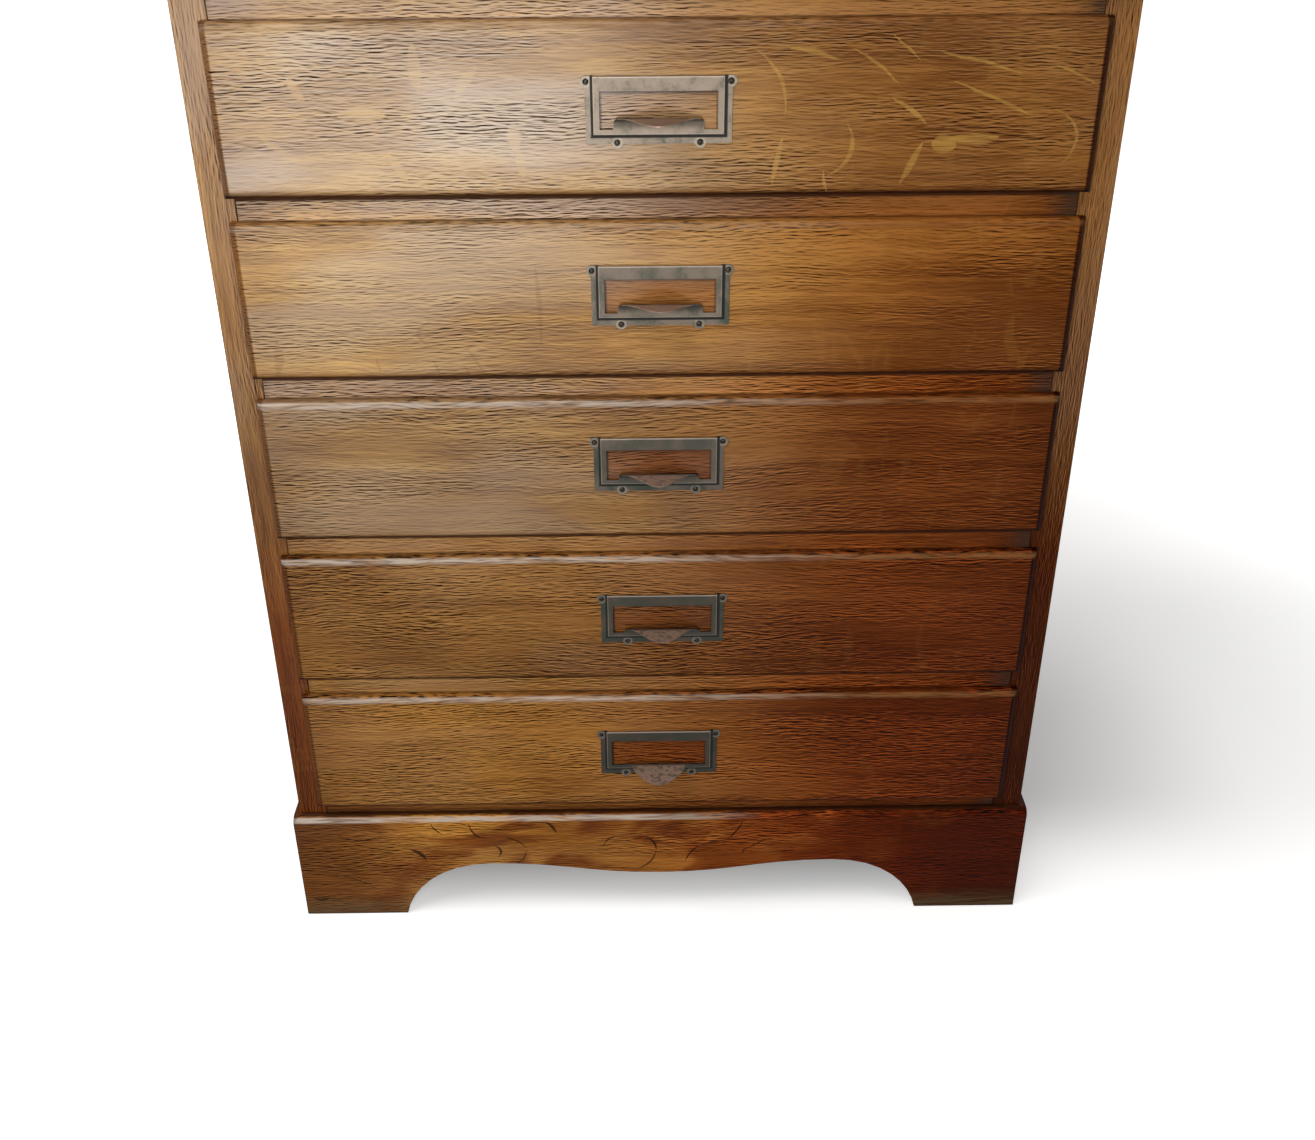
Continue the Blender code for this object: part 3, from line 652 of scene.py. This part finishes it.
def pull_zones(finish, x, rise, z):
    """1 on the flange, in the step, on the upper edge, the lit edge, the tongue and the tab, else 0; the step
    and tab carry dirt and painted shade, the upper edge a painted highlight.
    """
    outside = (abs(x) - FRAME_HALF_WIDTH).most(z - FRAME_HIGH).most(FRAME_LOW - z)
    flange = finish.fall(rise, FLANGE_FACE + 0.0002, FRAME_FACE - 0.0004)
    # The right and lower sides of the raised frame, where its painted shadow is widest.
    shaded = (x - FRAME_HALF_WIDTH).most(FRAME_LOW - z)
    shaded = finish.fall(outside - shaded, 0.0001, 0.0005)
    step = finish.fall(abs(outside - 0.0006), 0.0006, 0.0013) * flange
    step = step.most(finish.fall(abs(outside - 0.0008), 0.0009, 0.0018) * flange * shaded)
    # Painted highlight along the frame's upper edge.
    upper_highlight = finish.fall(FRAME_HIGH - z, 0.0004, 0.0012) * (1.0 - flange)
    tongue = finish.ease(rise, FRAME_FACE + 0.001, FRAME_FACE + 0.006)
    lit_edge = finish.fall(abs(outside + 0.0006), 0.0001, 0.0005) * (1.0 - flange) * (1.0 - tongue)
    # The tab under the tongue, in the tongue's painted shade.
    tab = finish.fall(abs(x), TAB_HALF_WIDTH - 0.001, TAB_HALF_WIDTH + 0.0006) * (1.0 - tongue)
    tab = tab * finish.ease(z, WINDOW_LOW - 0.0012, WINDOW_LOW + 0.004) * finish.fall(z, 0.0, 0.002)
    return flange, step, upper_highlight, lit_edge, tongue, tab


def pull_metal(name, middle, back, green, tarnish, shift):
    """Aged copper alloy: dull bronze frame, green film, dirt and painted shade in the steps and on the tab,
    painted highlights on the edges and a rubbed tongue.
    """
    look = bpy.context.scene.cabinet_pull
    material, finish = new_finish(name)
    place = finish.place()
    x, y, z = finish.split(place)
    x = x - middle[0]
    z = z - middle[1]
    flange, step, upper_highlight, lit_edge, tongue, tab = pull_zones(finish, x, back - y, z)
    moved = finish.shifted(place, shift)
    cloud = finish.noise(moved, (70.0,) * 3, 3.0, 0.55)
    speck = finish.noise(moved, (520.0,) * 3, 2.0, 0.6)
    marble = finish.noise(moved, (230.0,) * 3, 2.0, 0.6)
    film = finish.ease(cloud + (speck - 0.5) * 0.25, 0.56 - 0.22 * green, 0.78 - 0.2 * green)
    film = film * (0.45 + flange * 0.45) * (1.0 - tongue * 0.9) * min(1.0, 0.35 + green)
    dull = 1.0 - 0.72 * tarnish
    bronze = tint(look.bronze, (dull,) * 3)
    layers = Layers(finish, bronze)
    layers.cover(finish.ease(cloud, 0.35, 0.65) * 0.6, tint(bronze, (0.75, 0.74, 0.72)))
    layers.cover(film * 0.85, tint(look.patina, (1.0 - 0.6 * tarnish,) * 3))
    layers.cover(tongue * (0.6 + speck * 0.4), look.copper)
    spots = finish.ease(speck + (cloud - 0.5) * 0.8, 0.54, 0.7) * (0.25 + tongue * 0.2)
    spots = spots.most(finish.ease(marble, 0.5, 0.62) * tongue * (0.7 * tarnish))
    layers.cover(spots, tint(look.bronze, (0.3, 0.32, 0.34)))
    # Painted highlights on the upper edge and the lit edge.
    layers.cover(upper_highlight * 0.6, (0.46, 0.37, 0.31))
    layers.cover(lit_edge * 0.45, (0.3, 0.27, 0.23))
    layers.cover(ear_rings(finish, x, z) * 0.5, (0.27, 0.24, 0.2))
    # Grime and painted shade on the tab and in the steps.
    layers.cover(tab * 0.65, look.grime_and_shade)
    layers.cover(step * 0.95, tint(look.grime_and_shade, (0.35,) * 3))
    metallic = (0.8 - 0.55 * tarnish) * (1.0 - film * 0.7) * (1.0 - step)
    metallic = metallic * (1.0 - tongue * (0.8 * tarnish))
    roughness = 0.44 + 0.1 * tarnish + film * 0.12 + (speck - 0.5) * 0.2
    height = speck * 0.5 + film * 0.2
    settings = {"Metallic": metallic, "Specular IOR Level": 0.15}
    surface(finish, layers.colour, roughness, height, 0.0002, 0.2, settings)
    return material


def screw_metal():
    """Dark oily steel of the screw heads."""
    look = bpy.context.scene.cabinet_pull
    material, finish = new_finish("screw_steel")
    cloud = finish.noise(finish.place(), (500.0,) * 3, 2.0, 0.6)
    colour = finish.blend(finish.ease(cloud, 0.5, 0.8) * 0.5, look.grime_and_shade, tint(look.bronze, (0.5,) * 3))
    roughness = 0.26 + (cloud - 0.5) * 0.2
    surface(finish, colour, roughness, cloud, 0.0002, 0.3, {"Metallic": 0.85})
    return material


# Pieces from the frame's own solids

def placed(name, data):
    """A new object of the scene."""
    item = bpy.data.objects.new(name, data)
    bpy.context.scene.collection.objects.link(item)
    return item


def settle(piece):
    """Turns a piece's modifiers into its own mesh."""
    view = bpy.context.evaluated_depsgraph_get()
    finished = bpy.data.meshes.new_from_object(piece.evaluated_get(view))
    finished.name = piece.name
    piece.modifiers.clear()
    piece.data = finished


def eased_copy(node, ease):
    """A copy of a solid with merged faces, softly eased edges and weighted normals."""
    mesh = frame["nodes"][node].data.copy()
    form = bmesh.new()
    form.from_mesh(mesh)
    bmesh.ops.remove_doubles(form, verts=form.verts, dist=MERGE_DISTANCE)
    bmesh.ops.dissolve_limit(form, angle_limit=FLAT_ANGLE, verts=form.verts, edges=form.edges)
    form.to_mesh(mesh)
    form.free()
    mesh.materials.clear()
    piece = placed(node + "_dressed", mesh)
    bevel = piece.modifiers.new("eased", "BEVEL")
    bevel.width = ease
    bevel.segments = EASE_SEGMENTS
    bevel.limit_method = "ANGLE"
    bevel.angle_limit = EASED_ANGLE
    bevel.miter_outer = "MITER_ARC"
    piece.modifiers.new("normals", "WEIGHTED_NORMAL").weight = NORMAL_WEIGHT
    mesh.shade_smooth()
    settle(piece)
    return piece


def dress(node, material, ease):
    """Puts an eased copy with its finish in a solid's place."""
    solid = frame["nodes"][node]
    slot = solid.data.materials[0].name.split(".")[0]
    piece = eased_copy(node, ease)
    piece.data.materials.append(material)
    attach(piece, solid["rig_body"])
    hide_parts(node)
    return piece


# The boards between the drawers: how faded, with painted light, each is on the right and on the left, how
# bright and how glossy with white painted sheen
RAIL_LOOKS = {
    "bottom_board": ((0.0, 0.3), 1.35, 0.0),
    "rail_1": ((-0.1, 0.95), 1.62, 0.0),
    "rail_2": ((-0.05, 0.75), 1.52, 0.2),
    "rail_3": ((0.0, 1.0), 1.78, 1.0),
    "rail_4": ((0.12, 0.95), 1.4, 0.8),
    "rail_5": ((0.35, 1.0), 1.45, 0.8),
    "top_rail": ((0.35, 1.0), 1.45, 0.8),
}
# How far a drawer front covers a rail, and how deep a rail sits in the case side
DRAWER_LAP = 0.003
HOUSING_DEPTH = 0.01


class CABINET_OT_case(Operator):
    """Dress the case sides, rails, top, bottom, runners and back"""
    bl_idname = "cabinet.case"
    bl_label = "Case"

    def execute(self, context):
        ease = context.scene.cabinet_oak.ease
        bare_ease = context.scene.cabinet_box_wood.ease
        low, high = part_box("drawer_1_front")
        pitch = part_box("drawer_2_front")[0].z - low.z
        gaps = [side_gap_shade(high.x, low.z, pitch, high.z - low.z)]
        left = oak("case_oak_left", "z", (0.31, 0.17, 0.0), (-0.1, 0.82), (0.98, 0.92, 0.8),
                   waver=0.01, flecks=0.1, gloss_and_painted_sheen=0.2, details=gaps)
        right = oak("case_oak_right", "z", (0.83, 0.47, 0.6), (-0.8, 0.88), (0.84, 0.7, 0.72),
                    waver=0.01, flecks=0.1, gloss_and_painted_sheen=0.1, details=gaps)
        top = oak("case_oak_top", "x", (0.7, 0.3, 1.3), (0.6, 1.0), (0.95,) * 3,
                  waver=0.024, flecks=0.4)
        dress("side_left", left, ease)
        dress("side_right", right, ease)
        dress("top_board", top, ease)
        half_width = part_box("rail_1")[1].x - HOUSING_DEPTH
        for number, (node, (fade, gain, gloss_and_painted_sheen)) in enumerate(RAIL_LOOKS.items()):
            details = [lip_shadow(*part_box(node), DRAWER_LAP), joint_stain(half_width)]
            material = oak("case_oak_" + node, "x", (0.4 + number, 0.9, 0.0), fade, (gain,) * 3,
                           waver=0.006, flecks=0.1, open_pores=1.0, gloss_and_painted_sheen=gloss_and_painted_sheen, details=details)
            dress(node, material, ease)
        dress("back_panel", box_wood("inner_wood_across", "x", (0.2, 0.1, 0.4)), bare_ease)
        depthwise = box_wood("inner_wood_depth", "y", (0.5, 0.2, 0.1))
        for node in frame["nodes"]:
            if node.startswith("runner_"):
                dress(node, depthwise, ease)
        return {"FINISHED"}


# Dark veins and cracks of the plinth front: x, z, half length, rise at the middle and half width of each in
# millimetres, and its turn in radians
PLINTH_VEINS = (
    (-277, 97, 23, -7.8, 0.7, -0.08), (-225, 71, 10, 2.8, 2.1, -0.72), (-205, 102, 9, -2.5, 0.7, -0.89),
    (-167, 99, 13, -5.7, 0.9, -0.82), (-153, 74, 8, 4.9, 1.2, -1.35), (-134, 83, 12, 4, 0.8, -0.61),
    (-132, 67, 12, 4.1, 0.7, -2.3), (-101, 102, 9, 1.7, 1.5, -1.0), (-9, 81, 9, 2.9, 1.2, -1.05),
    (-14, 62, 15, 4.4, 0.8, -2.25), (-47, 85, 9, 2.4, 0.7, 0.69), (-289, 40, 27, 3.4, 0.5, -0.4),
    (-320, 20, 8, -2.1, 1.6, -0.02), (68, 97, 14, 1.8, 0.8, -2.14), (48, 82, 12, 0.1, 0.8, -2.9),
    (29, 69, 12, -2, 0.9, -2.18), (92, 80, 14, -2.1, 0.7, -2.69), (78, 71, 4, -2, 0.7, -2.22),
    (117, 71, 7, -0.5, 0.7, 0.2),
)
# A plane behind everything, for the plinth sides
NO_LEDGE = 2.0


class CABINET_OT_plinth(Operator):
    """Dress the plinth front with its bracket feet and the plinth sides"""
    bl_idname = "cabinet.plinth"
    bl_label = "Plinth"

    def execute(self, context):
        ease = context.scene.cabinet_oak.ease
        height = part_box("plinth_front")[1].z
        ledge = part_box("side_left")[0].y
        front = oak("plinth_oak_front", "x", (0.13, 0.55, 0.21), (0.0, 0.8), (1.16, 0.94, 0.74),
                    waver=0.03, flecks=0.1, open_pores=1.5, veins=PLINTH_VEINS,
                    details=[floor_wear_and_painted_light(height, ledge)])
        side = oak("plinth_oak_side", "y", (0.63, 0.25, 0.41), (0.1, 0.6), (1.0, 0.92, 0.8),
                   waver=0.03, flecks=0.1, details=[floor_wear_and_painted_light(height, NO_LEDGE)])
        dress("plinth_front", front, ease)
        dress("plinth_left", side, ease)
        dress("plinth_right", side, ease)
        return {"FINISHED"}


# Fading with painted light, tone, waver, flecks, open pores, place in the log, red wood behind the card,
# rubbing with painted highlight, and gloss with white painted sheen, from the lowest front up
FRONT_LOOKS = (
    ((0.00, 0.90), (1.12, 0.98, 0.84), 0.034, 0.10, 1.50, (0.20, 0.0, 0.10), 0.90, 0.80, 0.00),
    ((0.00, 0.75), (0.94, 0.88, 0.86), 0.046, 0.10, 1.50, (1.70, 0.0, 0.90), 0.55, 0.80, 0.05),
    ((0.00, 0.95), (1.01, 1.04, 1.12), 0.034, 0.10, 0.85, (2.90, 0.0, 0.30), 0.85, 0.70, 0.40),
    ((0.15, 1.00), (1.40, 1.45, 1.32), 0.032, 0.10, 0.72, (3.60, 0.0, 1.50), 0.60, 0.30, 0.45),
    ((0.30, 1.00), (1.28, 1.35, 1.36), 0.018, 0.10, 0.84, (4.80, 0.0, 0.70), 0.15, 0.25, 1.00),
    ((0.30, 1.00), (1.30, 1.28, 1.20), 0.024, 0.20, 0.84, (6.10, 0.0, 1.10), 0.40, 0.10, 0.80),
)
# Golden ray flecks by front, then the darker cross marks, as rows like those of the veins
FRONT_RAYS = {
    "drawer_5": (
        (77, 757, 26, 8.2, 1.3, -1.13), (107, 776, 18, 1.7, 1.6, -0.25), (150, 768, 21, 1.7, 1.1, -0.62),
        (175, 738, 16, 1.3, 1.7, -0.62), (179, 702, 17, 0.1, 2.4, -2.02), (201, 715, 9, 0.1, 6.9, -0.07),
        (221, 720, 19, -1.3, 4, 0.02), (125, 713, 21, 11.2, 1.7, -1.88), (84, 704, 18, -0.4, 1.9, -1.77),
        (220, 770, 33, 1.5, 1.1, -0.25), (233, 746, 32, 0.7, 1.2, -0.38), (280, 719, 21, 14.4, 1.3, -1.38),
        (289, 761, 17, 1, 1.1, -0.43), (170, 780, 14, 0.7, 0.9, -0.73), (119, 689, 9, -0.9, 1.1, -1.35),
        (-249, 756, 11, -1, 3.2, -1.06), (-166, 769, 17, -0.6, 4.5, -1.53), (-132, 760, 14, 0.6, 3.5, 0.92),
        (-206, 738, 17, 0.5, 5.9, -0.01), (-184, 701, 13, 0.2, 2.9, -1.04),
        (-101, 722, 11, 0.1, 4.8, -1.52), (-97, 704, 10, -0.2, 3.5, -1.42),
        (-266, 715, 18, -0.9, 2.4, -0.66),
    ),
}
FRONT_MARKS = {
    "drawer_4": (
        (-170, 578, 11, -10.3, 1.8, -1.54), (-90, 599, 33, 1.4, 1.9, -1.54),
        (-289, 560, 15, 2.4, 3.5, -1.68), (-139, 556, 13, 0.3, 1.2, -1.01), (-169, 550, 7, 0.8, 1.2, -1.26),
        (-213, 553, 7, 0.4, 1.1, -1.38), (-147, 548, 5, 1.6, 1.1, -1.28),
    ),
}


class CABINET_OT_fronts(Operator):
    """Dress the drawer fronts"""
    bl_idname = "cabinet.fronts"
    bl_label = "Drawer fronts"

    def execute(self, context):
        ease = context.scene.cabinet_oak.ease
        case_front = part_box("side_left")[0].y
        for body, (fade, tone, waver, flecks, pores, shift, red, rub_and_highlight, gloss_and_painted_sheen) in zip(DRAWERS, FRONT_LOOKS):
            node = body + "_front"
            details = [cross_marks(FRONT_MARKS.get(body)), moulded_edges(*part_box(node), case_front, rub_and_highlight),
                       behind_card(pull_middle(body)[0], red)]
            material = oak(node + "_oak", "x", shift, fade, tone, waver, flecks, pores, FRONT_RAYS.get(body),
                           gloss_and_painted_sheen=gloss_and_painted_sheen, details=details)
            dress(node, material, ease * FRONT_EASE_SHARE)
        return {"FINISHED"}


class CABINET_OT_boxes(Operator):
    """Dress the dovetailed drawer boxes"""
    bl_idname = "cabinet.boxes"
    bl_label = "Drawer boxes"

    def execute(self, context):
        ease = context.scene.cabinet_box_wood.ease
        sides = box_wood("box_wood_sides", "y", (0.9, 0.4, 0.2))
        backs = box_wood("box_wood_backs", "x", (0.3, 0.8, 0.6))
        panels = box_wood("box_wood_panels", "x", (0.6, 1.2, 0.9))
        boards = {"_side_left": sides, "_side_right": sides, "_back": backs, "_bottom": panels}
        for body in DRAWERS:
            for ending, material in boards.items():
                dress(body + ending, material, ease)
        return {"FINISHED"}


# How green and how dark each pull is, and how much wider its tongue is bent, from the lowest up
PULL_LOOKS = ((0.7, 1.0, 0.34), (0.95, 0.9, 0.08), (0.85, 0.7, 0.0), (0.6, 0.4, 0.0), (0.25, 0.05, 0.0),
              (0.35, 0.15, 0.0))
# How far the clouds on one pull are from those on the next
CLOUD_STEP = (0.37, 0.11, 0.23)
# Where a tongue begins to widen in front of the frame, and over what length
TONGUE_ROOT = 0.003
TONGUE_LENGTH = 0.01


def pull_middle(body):
    """Middle of the pull's window and the plane of its back."""
    low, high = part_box(body + "_pull")
    return ((low.x + high.x) / 2, high.z - PULL_TOP), high.y


def spread_tongue(piece, middle, back, gain):
    """Widens a tongue that use has bent flat."""
    for vertex in piece.data.vertices:
        reach = back - vertex.co.y - FRAME_FACE
        share = min(max((reach - TONGUE_ROOT) / TONGUE_LENGTH, 0.0), 1.0)
        vertex.co.x = middle[0] + (vertex.co.x - middle[0]) * (1.0 + gain * share)


class CABINET_OT_pulls(Operator):
    """Dress the pressed label pulls"""
    bl_idname = "cabinet.pulls"
    bl_label = "Label pulls"

    def execute(self, context):
        ease = context.scene.cabinet_pull.ease
        for number, (body, (green, tarnish, spread)) in enumerate(zip(DRAWERS, PULL_LOOKS)):
            middle, back = pull_middle(body)
            shift = [part * number for part in CLOUD_STEP]
            material = pull_metal(body + "_pull_metal", middle, back, green, tarnish, shift)
            spread_tongue(dress(body + "_pull", material, ease), middle, back, spread)
        return {"FINISHED"}


# Inputs of the screw nodes and the sizes that fill them
SCREW_INPUTS = {"Head radius": "head_radius", "Head rise": "head_rise", "Slot width": "slot_width",
                "Slot depth": "slot_depth"}
HEAD_SEGMENTS = 28
HEAD_RINGS = 14
# How far in front of the pull's back a screw head begins
HEAD_BASE = 0.0001


def screw_tree(material):
    """Nodes that set a domed, slotted screw head on each point, turned by a seeded angle."""
    tree = bpy.data.node_groups.new("slotted_screws", "GeometryNodeTree")
    sockets = tree.interface
    sockets.new_socket("Geometry", in_out="INPUT", socket_type="NodeSocketGeometry")
    for name in SCREW_INPUTS:
        sockets.new_socket(name, in_out="INPUT", socket_type="NodeSocketFloat")
    sockets.new_socket("Seed", in_out="INPUT", socket_type="NodeSocketInt")
    sockets.new_socket("Geometry", in_out="OUTPUT", socket_type="NodeSocketGeometry")
    nodes = tree.nodes
    link = tree.links.new
    given = nodes.new("NodeGroupInput").outputs
    radius, rise = given["Head radius"], given["Head rise"]

    def fill(node, values):
        for socket, value in zip(node.inputs, values):
            if isinstance(value, bpy.types.NodeSocket):
                link(value, socket)
            else:
                socket.default_value = value
        return node.outputs[0]

    def sized(x, y, z):
        return fill(nodes.new("ShaderNodeCombineXYZ"), (x, y, z))

    def times(first, second):
        product = nodes.new("ShaderNodeMath")
        product.operation = "MULTIPLY"
        return fill(product, (first, second))

    def changed(shape, key, vector):
        change = nodes.new("GeometryNodeTransform")
        link(shape.outputs["Mesh"], change.inputs["Geometry"])
        link(vector, change.inputs[key])
        return change.outputs[0]

    def box(size, lift):
        cube = nodes.new("GeometryNodeMeshCube")
        link(size, cube.inputs["Size"])
        return changed(cube, "Translation", sized(0.0, 0.0, lift))

    ball = nodes.new("GeometryNodeMeshUVSphere")
    fill(ball, (HEAD_SEGMENTS, HEAD_RINGS, 1.0))
    wide = times(radius, 3.0)
    cut = nodes.new("GeometryNodeMeshBoolean")
    cut.operation = "DIFFERENCE"
    cut.solver = "EXACT"
    link(changed(ball, "Scale", sized(radius, radius, rise)), cut.inputs["Mesh 1"])
    link(box(sized(wide, wide, rise), times(rise, -0.48)), cut.inputs["Mesh 2"])
    link(box(sized(wide, given["Slot width"], times(given["Slot depth"], 2.0)), rise), cut.inputs["Mesh 2"])
    turn = nodes.new("FunctionNodeRandomValue")
    turn.data_type = "FLOAT"
    turn.inputs[2].default_value = 0.0
    turn.inputs[3].default_value = math.pi
    link(given["Seed"], turn.inputs["Seed"])
    points = nodes.new("GeometryNodeMeshToPoints")
    link(given["Geometry"], points.inputs["Mesh"])
    place = nodes.new("GeometryNodeInstanceOnPoints")
    link(points.outputs[0], place.inputs["Points"])
    link(cut.outputs["Mesh"], place.inputs["Instance"])
    link(sized(math.pi / 2, turn.outputs[1], 0.0), place.inputs["Rotation"])
    real = nodes.new("GeometryNodeRealizeInstances")
    link(place.outputs[0], real.inputs[0])
    painted = nodes.new("GeometryNodeSetMaterial")
    painted.inputs["Material"].default_value = material
    link(real.outputs[0], painted.inputs["Geometry"])
    result = nodes.new("NodeGroupOutput")
    link(painted.outputs[0], result.inputs[0])
    return tree


class CABINET_OT_screws(Operator):
    """Set four slotted screws in the ears of each pull"""
    bl_idname = "cabinet.screws"
    bl_label = "Screws"

    def execute(self, context):
        sizes = context.scene.cabinet_screws
        tree = screw_tree(screw_metal())
        keys = {item.name: item.identifier for item in tree.interface.items_tree if item.in_out == "INPUT"}
        for number, body in enumerate(DRAWERS):
            middle, back = pull_middle(body)
            points = [(middle[0] + side * x, back - HEAD_BASE, middle[1] + z)
                      for side in (-1, 1) for x, z in (UPPER_EAR, LOWER_EAR)]
            mesh = bpy.data.meshes.new(body + "_screws")
            mesh.from_pydata(points, [], [])
            piece = placed(body + "_screws", mesh)
            modifier = piece.modifiers.new("screws", "NODES")
            modifier.node_group = tree
            for name, size in SCREW_INPUTS.items():
                modifier[keys[name]] = getattr(sizes, size)
            modifier[keys["Seed"]] = sizes.seed + number
            settle(piece)
            if not piece.data.polygons:
                raise RuntimeError("the screws of " + body + " came out empty")
            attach(piece, body)
        return {"FINISHED"}


# Stage

def seen_directly(finish):
    """1 for rays from the camera, from gloss or through glass, else 0."""
    path = [finish.add("ShaderNodeLightPath", None, None, name)
            for name in ("Is Camera Ray", "Is Glossy Ray", "Is Transmission Ray")]
    return path[0].most(path[1]).most(path[2])


def floor_finish(look):
    """Pale floor that is white where it is seen, with the object's shadow kept near the object and a painted
    shadow under the plinth and close on its right.
    """
    material, finish = new_finish("pale_floor")
    x, y, _ = finish.split(finish.place())
    beside = abs(x) - CAD_BOX[1][0]
    beyond = abs(y) - CAD_BOX[1][1]
    far = finish.length(finish.gather(beside.most(0.0), beyond.most(0.0), 0.0))
    inside = 0.0 - beside.most(beyond)
    ahead = finish.ease(0.0 - y, 0.02, 0.3)
    behind = finish.ease(y, 0.3, 0.55)
    right_of = x - CAD_BOX[1][0]
    close = finish.ease(right_of, -0.02, 0.02) * finish.fall(right_of, 0.06, 0.32)
    close = close * finish.ease(y, -0.17, -0.03) * finish.fall(y, 0.08, 0.42)
    glow = 0.44 + finish.ease(far, 0.15, 1.2 - ahead * 0.4) * 0.56 + ahead * 0.16 + behind * 0.1
    glow = glow + finish.ease(0.0 - x, 0.33, 0.42) * 0.25
    # Lower glow under the plinth and close on the object's right: a painted shadow.
    glow = glow - finish.ease(inside, 0.02, 0.12) * 0.34 - close * 0.2
    values = {"Base Color": (*look.floor_colour, 1.0), "Roughness": 1.0, "Specular IOR Level": 0.0,
              "Emission Color": finish.gather(glow, glow, glow), "Emission Strength": 1.0}
    bright = finish.add("ShaderNodeBsdfPrincipled", None, values)
    bounce = finish.add("ShaderNodeBsdfDiffuse", None, {"Color": (0.14, 0.13, 0.12, 1.0)})
    mixed = finish.add("ShaderNodeMixShader", None, {0: seen_directly(finish), 1: bounce, 2: bright})
    finish.add("ShaderNodeOutputMaterial", None, {"Surface": mixed})
    return material


# A round floor, a hair below the feet
FLOOR_RADIUS = 14.0
FLOOR_SIDES = 96
FLOOR_DROP = 0.0004


def make_floor(look):
    mesh = bpy.data.meshes.new("floor")
    form = bmesh.new()
    bmesh.ops.create_circle(form, cap_ends=True, segments=FLOOR_SIDES, radius=FLOOR_RADIUS)
    for vertex in form.verts:
        vertex.co.z = -FLOOR_DROP
    form.to_mesh(mesh)
    form.free()
    mesh.materials.append(floor_finish(look))
    placed("floor", mesh)


def soft_lamp(name, place, target, width, height, power, colour):
    """A rectangular soft lamp that looks at a point."""
    lamp = bpy.data.lights.new(name, "AREA")
    lamp.shape = "RECTANGLE"
    lamp.size = width
    lamp.size_y = height
    lamp.energy = power
    lamp.color = colour
    holder = placed(name, lamp)
    holder.location = place
    holder.rotation_euler = (Vector(target) - Vector(place)).to_track_quat("-Z", "Y").to_euler()
    holder.visible_camera = False
    return lamp


def make_surroundings(look):
    world = bpy.data.worlds.new("white_room")
    world.use_nodes = True
    finish = Finish(world.node_tree)
    strength = look.surround + seen_directly(finish) * (1.0 - look.surround)
    white = finish.add("ShaderNodeBackground", None, {"Color": (1.0, 1.0, 1.0, 1.0), "Strength": strength})
    finish.add("ShaderNodeOutputWorld", None, {"Surface": white})
    bpy.context.scene.world = world


def make_camera():
    """The camera at the photograph's place and angle."""
    lens = bpy.data.cameras.new("photo_camera")
    lens.sensor_fit = "HORIZONTAL"
    lens.sensor_width = SENSOR_WIDTH
    lens.lens = SENSOR_WIDTH * FOCAL_PIXELS / IMAGE_WIDTH
    lens.clip_start = 0.02
    lens.clip_end = 60.0
    camera = placed("photo_camera", lens)
    tipped = Matrix.Rotation(math.pi / 2 - CAMERA_PITCH, 4, "X") @ Matrix.Rotation(CAMERA_ROLL, 4, "Z")
    turned = Matrix.Rotation(-CAMERA_YAW, 4, "Z") @ tipped
    camera.matrix_world = Matrix.Translation(CAMERA_PLACE) @ turned
    bpy.context.scene.camera = camera


class CABINET_OT_stage(Operator):
    """Set the floor, the lamps, the surroundings and the camera"""
    bl_idname = "cabinet.stage"
    bl_label = "Stage"

    def execute(self, context):
        look = context.scene.cabinet_stage
        make_floor(look)
        make_surroundings(look)
        warm = (1.0, 0.985, 0.96)
        white = (1.0, 1.0, 1.0)
        soft_lamp("sky", (-0.9, -0.95, 2.6), (0.0, -0.3, 0.3), 1.6, 1.2, look.sky_power, warm)
        soft_lamp("window", (-0.33, -1.9, 1.0), (0.0, -0.2, 0.45), 0.5, 0.7, look.window_power, warm)
        sheen = soft_lamp("sheen", (-0.52, -2.2, 0.32), (-0.2, -0.2, 0.7), 1.05, 0.6,
                          look.sheen_power, white)
        sheen.spread = math.radians(70)
        soft_lamp("back_fill", (0.6, 2.2, 1.5), (0.0, 0.2, 0.5), 1.2, 1.2, look.fill_power, warm)
        soft_lamp("side_fill", (2.0, 0.7, 1.0), (0.3, 0.2, 0.5), 1.0, 1.0, look.fill_power * 0.5, warm)
        make_camera()
        context.scene.view_settings.view_transform = "Standard"
        return {"FINISHED"}


class CABINET_PT_panel(Panel):
    """Lists the cabinet's operators"""
    bl_idname = "CABINET_PT_panel"
    bl_label = "Archive cabinet"
    bl_space_type = "VIEW_3D"
    bl_region_type = "UI"
    bl_category = "Cabinet"

    def draw(self, context):
        for operator in OPERATORS:
            self.layout.operator(operator.bl_idname)


OPERATORS = (CABINET_OT_case, CABINET_OT_plinth, CABINET_OT_fronts, CABINET_OT_boxes, CABINET_OT_pulls,
             CABINET_OT_screws, CABINET_OT_stage)
GROUPS = {"cabinet_oak": OakFinish, "cabinet_box_wood": BoxWoodFinish, "cabinet_pull": PullFinish,
          "cabinet_screws": ScrewSizes, "cabinet_stage": StageLook}


def register():
    for group in GROUPS.values():
        bpy.utils.register_class(group)
    for name, group in GROUPS.items():
        setattr(bpy.types.Scene, name, PointerProperty(type=group))
    for item in (*OPERATORS, CABINET_PT_panel):
        bpy.utils.register_class(item)


def unregister():
    for item in (CABINET_PT_panel, *reversed(OPERATORS)):
        bpy.utils.unregister_class(item)
    for name, group in GROUPS.items():
        delattr(bpy.types.Scene, name)
        bpy.utils.unregister_class(group)


def main():
    register()
    bpy.ops.cabinet.case()
    bpy.ops.cabinet.plinth()
    bpy.ops.cabinet.fronts()
    bpy.ops.cabinet.boxes()
    bpy.ops.cabinet.pulls()
    bpy.ops.cabinet.screws()
    bpy.ops.cabinet.stage()


if __name__ == "__main__":
    main()
